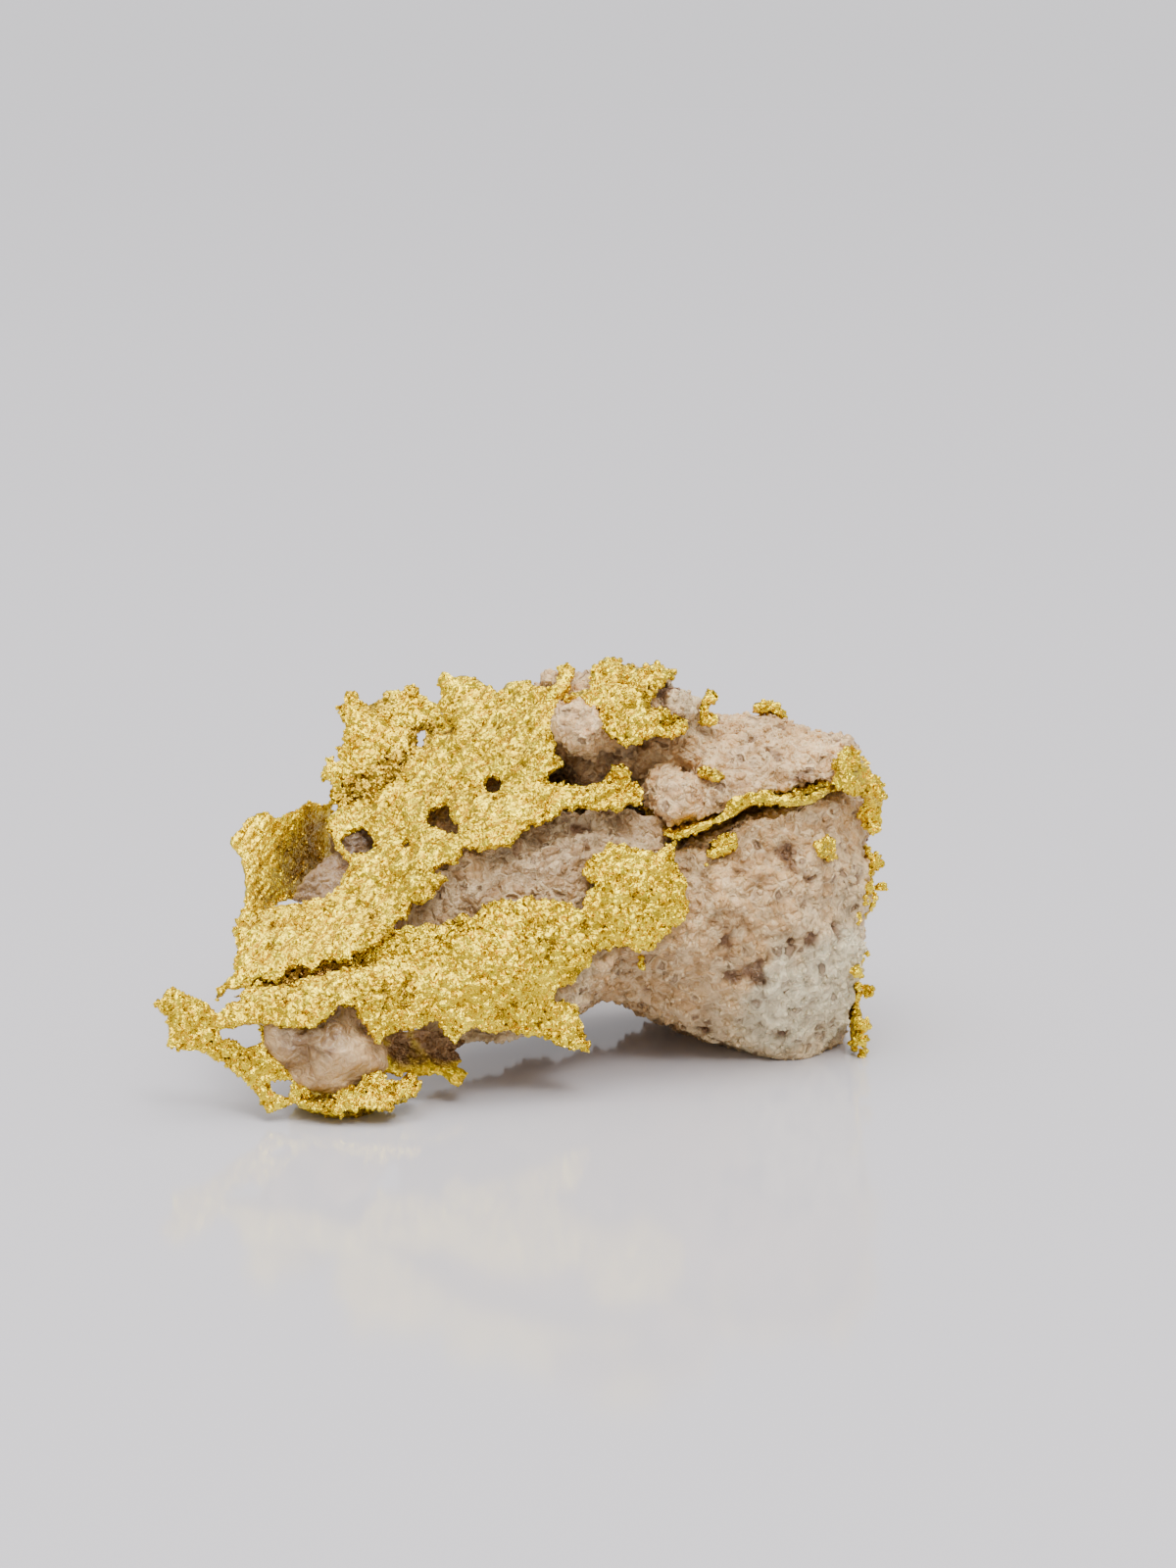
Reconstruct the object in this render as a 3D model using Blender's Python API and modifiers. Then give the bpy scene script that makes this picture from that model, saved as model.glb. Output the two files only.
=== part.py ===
"""Leaf gold specimen: thin sheets of native gold in and on a broken piece of granular quartz.

A cracked block of quartz carries sheets of gold on its faces, in its crack and past its left end,
where the stone is gone and the sheets stand free. Two loose grains of quartz are held by the gold.

Every shape is drawn as it looks from the front: mm to the right, mm up, and mm deep, away from the
viewer. set_down then turns such points into metres in the specimen's own frame: +X right, +Y back,
+Z up, with the origin under the middle of the specimen, on the surface that it rests on.
"""

import math

import bmesh
import bpy
import numpy as np
from mathutils import Matrix, Vector
from mathutils.bvhtree import BVHTree
from mathutils.geometry import delaunay_2d_cdt

# Driving dimensions, in mm
LEAF_THICKNESS = 0.22
GAP = 0.06  # left between pieces that touch
ROCK_GAP = 0.07  # left between a rock and a leaf on it
EDGE_ROOM = 0.35  # how far past a leaf's edge the rock under it starts to rise
EDGE_SLOPE = 1.3
HOLLOW_SLOPE = 3.5
CRACK_WIDTH = 0.34
CRACK_TIGHT = 0.05
CRACK_RISE = 0.17  # mm up for each mm deep

# The front view: how far away it is taken, how steeply it looks down, and where its eye stands
VIEW_DISTANCE = 112.0
VIEW_PITCH = math.radians(13.4)
EYE = (1.49, -109.36, 33.25)

# Mesh sizes, in mm
SHEET_CELL = 0.8
SLIVER = 0.006  # what is shorter than this goes
FAR = 14.0  # well past the specimen, for cutters
NUDGES = (0.0, 0.005, -0.008, 0.013, -0.021, 0.03)

# Which of right, up and deep a sheet's outline is drawn in, and which its bend moves it along
FRONT = (0, 1, 2)
PLAN = (0, 2, 1)
SIDE = (2, 1, 0)

# Colours and finish: name, base colour, roughness, metallic
GOLD = ("native_gold", (0.83, 0.58, 0.16, 1.0), 0.32, 1.0)
QUARTZ = ("granular_quartz", (0.50, 0.41, 0.36, 1.0), 0.55, 0.0)

# The crack's front edge, right and up
CRACK_EDGE = (
    (-8.0, -5.3), (-6.5, -4.6), (-5.0, -3.7), (-4.0, -2.6), (-3.0, -2.05), (-2.0, -1.65),
    (-1.0, -1.15), (0.0, -0.85), (1.5, -0.95), (2.2, -1.3), (3.5, -0.85), (4.2, -0.55),
    (5.0, -0.45), (6.0, -0.25), (7.5, -0.35), (9.0, -0.4),
)


def through(anchors):
    """The smooth surface through anchors (p, q, r), as a function that gives r at p, q."""
    known = np.array(anchors, float)

    def swing(p, q):
        square = (p[..., None] - known[:, 0]) ** 2 + (q[..., None] - known[:, 1]) ** 2
        return 0.5 * square * np.log(square + 1e-9)

    count = len(known)
    plane = np.column_stack([np.ones(count), known[:, 0], known[:, 1]])
    system = np.zeros((count + 3, count + 3))
    system[:count, :count] = swing(known[:, 0], known[:, 1])
    system[:count, count:] = plane
    system[count:, :count] = plane.T
    weights = np.linalg.solve(system, np.concatenate([known[:, 2], np.zeros(3)]))

    def surface(p, q):
        p, q = np.asarray(p, float), np.asarray(q, float)
        flat = weights[count] + weights[count + 1] * p + weights[count + 2] * q
        return swing(p, q) @ weights[:count] + flat

    return surface


def crack_surface(right, deep):
    """How high the crack lies."""
    edge = np.array(CRACK_EDGE)
    return np.interp(right, edge[:, 0], edge[:, 1]) + CRACK_RISE * np.asarray(deep)


def round_hole(p, q, radius):
    """A small ragged round hole as a six-sided outline."""
    turns = [math.tau * k / 6 for k in range(6)]
    return [(p + radius * math.cos(t), q + radius * math.sin(t)) for t in turns]


def new_object(name, mesh):
    """An object for this mesh, in the scene."""
    obj = bpy.data.objects.new(name, mesh)
    bpy.context.scene.collection.objects.link(obj)
    return obj


def face_out(shape):
    """Turns all faces of a closed bmesh outwards."""
    shape.normal_update()
    bmesh.ops.recalc_face_normals(shape, faces=shape.faces)
    if shape.calc_volume(signed=True) < 0:
        bmesh.ops.reverse_faces(shape, faces=shape.faces)


def remove(obj):
    """Takes a helper out of the scene again."""
    bpy.data.objects.remove(obj)


def settle(obj):
    """Applies the object's modifiers."""
    graph = bpy.context.evaluated_depsgraph_get()
    mesh = bpy.data.meshes.new_from_object(obj.evaluated_get(graph))
    obj.modifiers.clear()
    obj.data = mesh
    return obj


def bulk(mesh):
    """A mesh's volume, or nothing where it isn't closed."""
    shape = bmesh.new()
    shape.from_mesh(mesh)
    closed = all(len(edge.link_faces) == 2 for edge in shape.edges)
    volume = shape.calc_volume(signed=True) if closed else 0.0
    shape.free()
    return volume


def combine(obj, other, operation, least):
    """Cuts obj with other, or keeps what they share, and takes other out of the scene.

    A result that comes out open, or with less than the least share of obj's volume, because faces
    meet edge on edge, is made again with other moved a little or with crossing faces allowed for.
    """
    before = obj.data
    for nudge in NUDGES:
        for crossing in (False, True):
            obj.data = before.copy()
            other.location = (nudge, -nudge, nudge / 2)
            modifier = obj.modifiers.new(operation.lower(), "BOOLEAN")
            modifier.operation = operation
            modifier.solver = "EXACT"
            modifier.use_self = crossing
            modifier.object = other
            settle(obj)
            if bulk(obj.data) > least * bulk(before):
                remove(other)
                return obj
    raise RuntimeError(f"{obj.name} can't be cut cleanly")


def cut(obj, cutter):
    """Takes the cutter out of obj, and out of the scene."""
    return combine(obj, cutter, "DIFFERENCE", 0.3)


def turn_axes(obj, axes):
    """Puts a mesh that is drawn in p, q, r where those axes lie, with its faces outwards."""
    order = np.argsort(axes)
    shape = bmesh.new()
    shape.from_mesh(obj.data)
    for vertex in shape.verts:
        vertex.co = Vector([vertex.co[int(k)] for k in order])
    bmesh.ops.remove_doubles(shape, verts=shape.verts, dist=SLIVER)
    bmesh.ops.dissolve_degenerate(shape, edges=shape.edges, dist=SLIVER)
    bmesh.ops.triangulate(shape, faces=shape.faces)
    face_out(shape)
    shape.to_mesh(obj.data)
    shape.free()
    return obj


def prism(outline, holes, reach=FAR):
    """The space in front of and behind an outline, with its holes."""
    curve = bpy.data.curves.new("outline", "CURVE")
    curve.dimensions = "2D"
    curve.fill_mode = "BOTH"
    curve.extrude = reach
    for loop in [outline, *holes]:
        spline = curve.splines.new("POLY")
        spline.points.add(len(loop) - 1)
        for point, (p, q) in zip(spline.points, loop):
            point.co = (p, q, 0, 1)
        spline.use_cyclic_u = True
    drawn = new_object("outline", curve)
    graph = bpy.context.evaluated_depsgraph_get()
    mesh = bpy.data.meshes.new_from_object(drawn.evaluated_get(graph))
    remove(drawn)
    shape = bmesh.new()
    shape.from_mesh(mesh)
    bmesh.ops.remove_doubles(shape, verts=shape.verts, dist=1e-4)
    face_out(shape)
    shape.to_mesh(mesh)
    shape.free()
    return new_object("prism", mesh)


def widened(outline, by):
    """The outline, widened all round."""
    corners = np.array(outline, float)
    ahead = np.roll(corners, -1, axis=0)
    if np.sum(corners[:, 0] * ahead[:, 1] - ahead[:, 0] * corners[:, 1]) < 0:
        corners = corners[::-1]
        ahead = np.roll(corners, -1, axis=0)
    loops = [corners]
    for start, end in zip(corners, ahead):
        along = (end - start) / np.linalg.norm(end - start) * by
        side = np.array([-along[1], along[0]])
        low, high = start - along / 2, end + along / 2
        loops.append(np.array([low - side, high - side, high + side, low + side]))
    ends = np.cumsum([0] + [len(loop) for loop in loops])
    faces = [list(range(first, last)) for first, last in zip(ends, ends[1:])]
    points = [Vector(point) for loop in loops for point in loop]
    flat = delaunay_2d_cdt(points, [], faces, 1, 1e-5)
    shape = bmesh.new()
    verts = [shape.verts.new((*point, 0)) for point in flat[0]]
    for face in flat[2]:
        shape.faces.new([verts[k] for k in face])
    rim = [edge for edge in shape.edges if edge.is_boundary]
    corner = rim[0].verts[0]
    loop, came = [corner], None
    while len(loop) <= len(rim):
        step = next(e for e in corner.link_edges if e.is_boundary and e is not came)
        corner, came = step.other_vert(corner), step
        if corner is loop[0]:
            break
        loop.append(corner)
    points = [np.array(v.co[:2]) for v in loop]
    shape.free()
    kept = [points[0]]
    for point in points[1:]:
        if np.linalg.norm(point - kept[-1]) > by / 2:
            kept.append(point)
    return kept


def bent_grid(outline, bend, cell):
    """A grid that covers the outline, bent as the sheet is, as a bmesh."""
    low, high = np.min(outline, axis=0) - cell, np.max(outline, axis=0) + cell
    steps = np.ceil((high - low) / cell).astype(int)
    shape = bmesh.new()
    bmesh.ops.create_grid(shape, x_segments=int(steps[0]), y_segments=int(steps[1]), size=1)
    for vertex in shape.verts:
        p, q = low + (np.array(vertex.co[:2]) + 1) / 2 * (high - low)
        vertex.co = (p, q, float(bend(p, q)))
    return shape


class Sheet:
    """A leaf of gold: an outline with holes, in one of the three views, and the bend that it lies in."""

    def __init__(self, name, axes, outline, bend, holes=(), thickness=LEAF_THICKNESS, cell=SHEET_CELL):
        self.name = name
        self.axes = axes
        self.outline = outline
        self.bend = bend
        self.holes = list(holes)
        self.thickness = thickness
        self.cell = cell

    def slab(self, name, around, thickness, cell):
        """The bent sheet, within a prism."""
        shape = bent_grid(self.outline, self.bend, cell)
        mesh = bpy.data.meshes.new(name)
        shape.to_mesh(mesh)
        shape.free()
        obj = new_object(name, mesh)
        solid = obj.modifiers.new("thickness", "SOLIDIFY")
        solid.thickness = thickness
        solid.offset = 0
        settle(obj)
        combine(obj, around, "INTERSECT", 0.02)
        return turn_axes(obj, self.axes)

    def solid(self):
        """The leaf itself."""
        return self.slab(self.name, prism(self.outline, self.holes), self.thickness, self.cell)

    def clearance(self):
        """The leaf with the gap all round it, as a cutter."""
        around = prism(widened(self.outline, 2 * GAP), [])
        return self.slab("clearance", around, self.thickness + 2 * GAP, self.cell)

    def half(self, p):
        """Half the leaf's thickness at p."""
        return np.full(np.shape(p), self.thickness / 2)

    def steepness(self, p, q):
        """How much longer the way through the leaf is than its thickness, at p, q."""
        step = 0.05
        rise_p = (self.bend(p + step, q) - self.bend(p - step, q)) / (2 * step)
        rise_q = (self.bend(p, q + step) - self.bend(p, q - step)) / (2 * step)
        return np.sqrt(1 + rise_p**2 + rise_q**2)


class Crack(Sheet):
    """The crack between the block and the slab: closed up at the left, and open where gold fills it."""

    def half(self, p):
        """Half the crack's width at p."""
        return np.interp(p, (0.0, 1.4), (CRACK_TIGHT / 2, CRACK_WIDTH / 2))


def beyond(outline, p, q):
    """How far each point p, q lies outside an outline, and nothing where it is inside."""
    corners = np.array(outline, float)
    points = np.column_stack([p, q])
    nearest = np.full(len(points), np.inf)
    inside = np.zeros(len(points), bool)
    for start, end in zip(corners, np.roll(corners, -1, axis=0)):
        along = end - start
        share = np.clip((points - start) @ along / (along @ along), 0, 1)
        nearest = np.minimum(nearest, np.linalg.norm(points - start - share[:, None] * along, axis=1))
        if start[1] != end[1]:
            level = (start[1] > points[:, 1]) != (end[1] > points[:, 1])
            crossing = start[0] + (points[:, 1] - start[1]) / along[1] * along[0]
            inside ^= level & (points[:, 0] < crossing)
    return np.where(inside, 0.0, nearest)


def make_room(obj, sheet, side, gap=ROCK_GAP, room=EDGE_ROOM, slope=EDGE_SLOPE):
    """Presses a rock back behind a leaf that lies on it.

    side is -1 or 1, where the leaf is along its bend. Past the leaf's edge, and room more, the rock
    comes forward again at this slope.
    """
    count = len(obj.data.vertices)
    spots = np.empty(count * 3)
    obj.data.vertices.foreach_get("co", spots)
    spots = spots.reshape(count, 3)
    p, q, r = (spots[:, axis] for axis in sheet.axes)
    past = np.maximum(beyond(sheet.outline, p, q) - room, 0)
    depth = (sheet.half(p) + gap) * sheet.steepness(p, q) - past * slope
    limit = sheet.bend(p, q) - side * depth
    spots[:, sheet.axes[2]] = np.maximum(r, limit) if side < 0 else np.minimum(r, limit)
    obj.data.vertices.foreach_set("co", spots.ravel())
    obj.data.update()


def chunk(corners):
    """A broken lump: the convex hull of its corners, as a bmesh."""
    shape = bmesh.new()
    for corner in corners:
        shape.verts.new(corner)
    hull = bmesh.ops.convex_hull(shape, input=shape.verts)
    inside = [v for v in hull["geom_interior"] if isinstance(v, bmesh.types.BMVert)]
    bmesh.ops.delete(shape, geom=inside, context="VERTS")
    face_out(shape)
    return shape


def rock(name, chunks, leaves, faces, wear, lumps, grain, voxel, hollows=()):
    """Lumps of quartz grown together, worn at their edges, lumpy and grainy, in about that many faces.

    leaves holds the leaves that lie on it, each with its side. lumps and grain are (height, size) of
    the larger and the smaller unevenness. hollows are the floors of the hollows in its front.
    """
    together = bmesh.new()
    for corners in chunks:
        part = chunk(corners)
        mesh = bpy.data.meshes.new("chunk")
        part.to_mesh(mesh)
        part.free()
        together.from_mesh(mesh)
        bpy.data.meshes.remove(mesh)
    mesh = bpy.data.meshes.new(name)
    together.to_mesh(mesh)
    together.free()
    obj = new_object(name, mesh)
    joined = obj.modifiers.new("grown_together", "REMESH")
    joined.mode = "VOXEL"
    joined.voxel_size = voxel
    worn = obj.modifiers.new("worn", "SMOOTH")
    worn.factor = 0.5
    worn.iterations = wear
    for label, kind, (height, size) in (("lumps", "CLOUDS", lumps), ("grain", "VORONOI", grain)):
        pattern = bpy.data.textures.new(f"{name}_{label}", kind)
        pattern.noise_scale = size
        uneven = obj.modifiers.new(label, "DISPLACE")
        uneven.texture = pattern
        uneven.texture_coords = "LOCAL"
        uneven.mid_level = 0.5
        uneven.strength = height
    settle(obj)
    for hollow in hollows:
        make_room(obj, hollow, -1, room=0.0, slope=HOLLOW_SLOPE)
    for leaf, side in leaves:
        make_room(obj, leaf, side)
    healed = obj.modifiers.new("healed", "REMESH")
    healed.mode = "VOXEL"
    healed.voxel_size = voxel
    settle(obj)
    keep(obj, islands(obj)[0])
    coarse = obj.modifiers.new("faces", "DECIMATE")
    coarse.ratio = min(1.0, faces / sum(len(p.vertices) - 2 for p in obj.data.polygons))
    coarse.use_collapse_triangulate = True
    settle(obj)
    for leaf, side in leaves:
        make_room(obj, leaf, side)
    return obj


def islands(obj):
    """The separate bodies of a mesh, as lists of vertex indices, largest first."""
    shape = bmesh.new()
    shape.from_mesh(obj.data)
    shape.verts.ensure_lookup_table()
    seen, found = set(), []
    for start in shape.verts:
        if start.index in seen:
            continue
        seen.add(start.index)
        body, edge = [], [start]
        while edge:
            vertex = edge.pop()
            body.append(vertex.index)
            for link in vertex.link_edges:
                near = link.other_vert(vertex)
                if near.index not in seen:
                    seen.add(near.index)
                    edge.append(near)
        found.append(body)
    shape.free()
    return sorted(found, key=len, reverse=True)


def keep(obj, body):
    """Leaves only these vertices of a mesh."""
    kept = set(body)
    shape = bmesh.new()
    shape.from_mesh(obj.data)
    shape.verts.ensure_lookup_table()
    spare = [v for v in shape.verts if v.index not in kept]
    bmesh.ops.delete(shape, geom=spare, context="VERTS")
    shape.to_mesh(obj.data)
    shape.free()
    return obj


def whole(obj):
    """Drops the crumbs that a cut leaves."""
    return keep(obj, islands(obj)[0])


def nugget(name, axes, side, spot, size, turn, host):
    """A small lump of gold on its host.

    spot is its p, q, and side is -1 or 1, the way it stands up along r.
    """
    face = bmesh.new()
    face.from_mesh(host.data)
    surface = BVHTree.FromBMesh(face)
    face.free()
    order = np.argsort(axes)
    inward = Vector([(0, 0, -side)[int(k)] for k in order])
    shape = bmesh.new()
    bmesh.ops.create_icosphere(shape, subdivisions=2, radius=0.5)
    place = Matrix.Rotation(turn, 4, "Z") @ Matrix.Diagonal((*size, 1))
    for number, vertex in enumerate(shape.verts):
        p, q, height = place @ (vertex.co * (1 + 0.18 * math.sin(5.1 * number) * math.cos(2.3 * number)))
        p, q = p + spot[0], q + spot[1]
        start = Vector([(p, q, side * FAR)[int(k)] for k in order])
        hit = surface.ray_cast(start, inward)[0]
        vertex.co = (p, q, hit[axes[2]] + side * (ROCK_GAP + max(height, 0)))
    face_out(shape)
    mesh = bpy.data.meshes.new(name)
    shape.to_mesh(mesh)
    shape.free()
    return turn_axes(new_object(name, mesh), axes)


def set_down(obj):
    """Turns a shape from the front view's mm into metres in the specimen's frame.

    What lies below the floor is cut off flat.
    """
    shape = bmesh.new()
    shape.from_mesh(obj.data)
    level, plunge = math.cos(VIEW_PITCH), math.sin(VIEW_PITCH)
    for vertex in shape.verts:
        right, up, deep = vertex.co
        spread = 1 + deep / VIEW_DISTANCE
        away = VIEW_DISTANCE + deep
        vertex.co = Vector((
            EYE[0] + right * spread,
            EYE[1] + up * spread * plunge + away * level,
            EYE[2] + up * spread * level - away * plunge,
        )) * 0.001
    everything = shape.verts[:] + shape.edges[:] + shape.faces[:]
    bmesh.ops.bisect_plane(
        shape, geom=everything, dist=1e-7, plane_co=(0, 0, 0), plane_no=(0, 0, 1), clear_inner=True
    )
    open_edges = [edge for edge in shape.edges if edge.is_boundary]
    if open_edges:
        bmesh.ops.holes_fill(shape, edges=open_edges)
    face_out(shape)
    bmesh.ops.triangulate(shape, faces=shape.faces)
    shape.to_mesh(obj.data)
    shape.free()
    return whole(obj)


def finish(obj, look, holder):
    """Gives a piece its origin at its own middle, its material and its holder."""
    corners = np.array([v.co for v in obj.data.vertices])
    middle = Vector((corners.min(axis=0) + corners.max(axis=0)) / 2)
    obj.data.transform(Matrix.Translation(-middle))
    obj.location = middle
    name, colour, roughness, metallic = look
    material = bpy.data.materials.get(name)
    if material is None:
        material = bpy.data.materials.new(name)
        material.use_nodes = True
        shader = material.node_tree.nodes["Principled BSDF"]
        shader.inputs["Base Color"].default_value = colour
        shader.inputs["Roughness"].default_value = roughness
        shader.inputs["Metallic"].default_value = metallic
    obj.data.materials.clear()
    obj.data.materials.append(material)
    obj.data.shade_smooth()
    obj.data.set_sharp_from_angle(angle=math.radians(35))
    obj.parent = holder


def gold_sheets():
    """Every leaf of gold, by name."""
    upper = Sheet(
        "gold_upper_leaf", FRONT,
        [(-9.5, -5.4), (-9.05, -5.0), (-8.9, -4.45), (-9.05, -3.75), (-8.75, -3.35), (-8.3, -3.3),
         (-7.5, -3.15), (-6.75, -3.0), (-6.35, -2.6), (-6.0, -2.15), (-6.3, -1.85), (-6.5, -1.65),
         (-6.65, -0.95), (-6.35, -0.6), (-5.4, -0.1), (-4.55, 0.5), (-4.2, 0.9), (-3.55, 1.45),
         (-3.8, 2.0), (-3.75, 2.65), (-3.4, 2.8), (-3.0, 2.75), (-2.5, 2.35), (-1.9, 2.55),
         (-1.35, 2.9), (-1.0, 3.1), (-0.5, 3.1), (-0.45, 2.65), (-0.8, 2.15), (-0.9, 1.4),
         (-0.85, 0.75), (-0.65, 0.5), (-1.0, 0.3), (-1.05, -0.05), (-0.25, -0.1), (0.25, -0.1),
         (0.55, 0.4), (0.9, 0.45), (1.15, 0.05), (1.4, -0.2), (1.2, -0.5), (0.6, -0.7), (0.0, -0.6),
         (-0.7, -0.65), (-1.4, -1.1), (-1.9, -1.4), (-2.05, -1.65), (-2.95, -1.6), (-3.35, -1.9),
         (-3.9, -2.25), (-3.7, -2.45), (-4.0, -2.9), (-4.5, -3.05), (-4.6, -3.4), (-5.1, -3.8),
         (-5.4, -4.1), (-6.1, -4.45), (-6.75, -4.6), (-7.5, -4.7), (-7.9, -5.05), (-8.6, -5.05),
         (-9.0, -5.25)],
        through([
            (-9.3, -5.2, -2.7), (-7.5, -4.7, -2.7), (-5.4, -4.0, -2.5), (-4.0, -2.8, -2.2),
            (-3.0, -1.8, -2.0), (-1.5, -1.1, -1.7), (0.0, -0.6, -1.4), (1.3, -0.4, -1.1),
            (-8.8, -3.4, -1.2), (-7.0, -3.3, -1.2), (-6.3, -1.5, 0.5), (-5.6, -0.3, 1.4),
            (-4.3, 0.7, 1.6), (-3.6, 2.4, 2.4), (-2.2, 2.3, 1.9), (-0.8, 2.9, 1.5),
            (-0.9, 1.0, -0.3), (-2.6, 0.4, 0.1),
        ]),
        holes=[
            [(-4.08, -1.05), (-4.0, -0.72), (-3.65, -0.55), (-3.55, -0.85), (-3.3, -1.15),
             (-3.5, -1.28), (-3.75, -1.05)],
            [(-6.3, -1.55), (-6.1, -1.25), (-5.75, -1.18), (-5.58, -1.45), (-5.8, -1.8), (-6.12, -1.75)],
            round_hole(-2.38, -0.02, 0.17),
            round_hole(-4.55, -1.55, 0.09),
        ],
        cell=1.0,
    )
    lower = Sheet(
        "gold_lower_leaf", FRONT,
        [(-9.35, -5.8), (-9.0, -5.42), (-8.65, -5.1), (-8.1, -5.12), (-7.25, -5.02), (-6.38, -4.75),
         (-5.7, -4.7), (-5.0, -4.5), (-4.1, -4.28), (-3.55, -4.0), (-3.45, -3.7), (-2.95, -3.38),
         (-2.6, -3.05), (-2.0, -3.0), (-1.38, -2.95), (-0.75, -3.0), (-0.15, -3.25), (-0.1, -2.88),
         (0.18, -2.5), (-0.05, -2.25), (0.2, -1.92), (0.55, -1.5), (0.75, -1.68), (1.0, -1.52),
         (1.2, -1.72), (1.75, -1.75), (2.25, -1.4), (2.2, -1.9), (2.42, -2.32), (2.52, -3.2),
         (2.25, -3.55), (1.95, -3.9), (1.42, -4.25), (0.98, -4.2),
         (0.55, -4.12), (0.18, -4.22), (0.0, -4.7), (-0.42, -5.02), (-0.95, -5.45), (-1.5, -5.78),
         (-0.85, -5.58), (-0.38, -5.68), (-0.18, -6.25), (0.05, -6.65), (-0.05, -6.85),
         (-0.65, -6.72), (-1.1, -6.5), (-1.65, -6.45), (-2.1, -6.22), (-2.5, -6.4), (-3.0, -6.28),
         (-3.25, -6.55), (-3.5, -6.45), (-3.85, -6.0), (-4.3, -6.25), (-5.0, -6.3), (-5.3, -6.55),
         (-5.55, -6.08), (-5.95, -5.75), (-6.38, -5.72), (-6.8, -6.15), (-7.5, -6.28),
         (-8.25, -6.12), (-8.88, -6.1), (-9.3, -6.15)],
        through([
            (-9.3, -5.9, -3.6), (-8.6, -5.1, -3.1), (-7.0, -4.9, -3.0), (-5.0, -4.5, -2.8),
            (-3.5, -3.8, -2.5), (-2.0, -3.0, -2.1), (-0.5, -3.1, -1.9), (0.4, -1.8, -1.5),
            (2.2, -1.6, -1.2), (2.4, -3.0, -1.4), (1.3, -4.4, -1.5), (0.5, -3.3, -1.75),
            (-0.4, -4.9, -2.1), (-0.3, -6.4, -2.2), (-1.6, -6.3, -2.5), (-3.2, -6.3, -3.0),
            (-5.2, -6.3, -3.5), (-6.4, -5.5, -3.8), (-8.0, -6.0, -3.8), (-3.0, -4.9, -3.0),
            (-1.4, -4.6, -2.6),
        ]),
        cell=1.0,
    )
    spray = Sheet(
        "gold_left_spray", FRONT,
        [(-9.5, -5.82), (-9.7, -5.75), (-9.85, -5.48), (-10.2, -5.52), (-10.45, -5.22),
         (-10.65, -5.12), (-10.8, -5.42), (-11.1, -5.55), (-11.05, -5.8), (-10.72, -5.95),
         (-10.68, -6.3), (-10.78, -6.55), (-10.55, -6.8), (-9.95, -6.82), (-9.45, -7.1),
         (-9.0, -7.5), (-8.6, -7.8), (-8.4, -8.2), (-8.1, -8.4), (-7.8, -8.2), (-7.75, -8.02),
         (-8.1, -7.92), (-8.08, -7.62), (-7.7, -7.5), (-7.85, -7.2), (-8.3, -6.75), (-8.95, -6.7),
         (-9.0, -6.45), (-9.5, -6.4)],
        through([
            (-11.0, -5.6, -4.0), (-10.5, -6.6, -4.0), (-9.5, -6.1, -3.6), (-9.0, -7.3, -3.5),
            (-8.1, -8.3, -3.7), (-8.0, -7.2, -3.6),
        ]),
        cell=0.7,
    )
    bottom = Sheet(
        "gold_bottom_leaf", PLAN,
        [(-7.65, -2.6), (-7.6, -3.3), (-7.1, -3.75), (-6.4, -3.98), (-5.9, -3.78), (-5.5, -3.92),
         (-5.0, -3.62), (-4.5, -3.3), (-4.3, -2.9), (-4.6, -2.5), (-4.9, -2.7), (-5.3, -2.0),
         (-5.9, -1.4), (-6.8, -1.3), (-7.4, -1.8)],
        through([
            (-6.5, -3.3, -8.41), (-5.8, -3.3, -8.36), (-6.4, -3.98, -8.12), (-5.5, -3.92, -7.62),
            (-4.6, -3.1, -7.95), (-4.3, -2.9, -7.72), (-7.6, -3.2, -8.05), (-7.5, -2.2, -7.9),
            (-6.5, -2.3, -8.1), (-6.5, -1.4, -7.6), (-5.4, -2.0, -7.75),
        ]),
        cell=0.6,
    )
    fold = Sheet(
        "gold_bottom_fold", FRONT,
        [(-5.2, -6.35), (-4.7, -6.33), (-4.25, -6.35), (-3.85, -6.25), (-3.6, -6.55), (-3.2, -6.65),
         (-3.42, -6.85), (-3.27, -7.0), (-3.35, -7.2), (-3.15, -7.42), (-3.25, -7.62),
         (-3.48, -7.6), (-3.8, -7.45), (-4.3, -7.4), (-4.92, -7.42), (-5.0, -7.15), (-4.9, -6.8)],
        through([
            (-5.1, -6.4, -1.95), (-4.2, -6.4, -1.75), (-3.4, -6.8, -1.55), (-4.9, -7.35, -2.5),
            (-4.0, -7.4, -2.4), (-3.3, -7.5, -2.1),
        ]),
        cell=0.6,
    )
    middle = Sheet(
        "gold_middle_leaf", FRONT,
        [(-8.75, -5.15), (-8.12, -4.9), (-7.6, -4.62), (-6.75, -4.42), (-6.0, -4.15), (-5.5, -3.95),
         (-5.1, -3.75), (-4.7, -3.65), (-4.25, -3.7), (-3.85, -3.58), (-3.35, -3.42), (-3.1, -3.6),
         (-3.42, -3.92), (-3.75, -4.15), (-4.25, -4.55), (-4.88, -4.65), (-5.5, -4.8),
         (-6.25, -4.95), (-7.0, -5.1), (-7.75, -5.3), (-8.35, -5.4)],
        through([
            (-8.7, -5.3, -2.2), (-7.5, -4.9, -1.95), (-6.0, -4.5, -1.95), (-5.2, -4.2, -2.0),
            (-4.5, -3.75, -1.95), (-3.4, -3.5, -1.9), (-4.4, -4.3, -2.1), (-6.5, -5.0, -2.1),
        ]),
        cell=0.6,
    )
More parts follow.
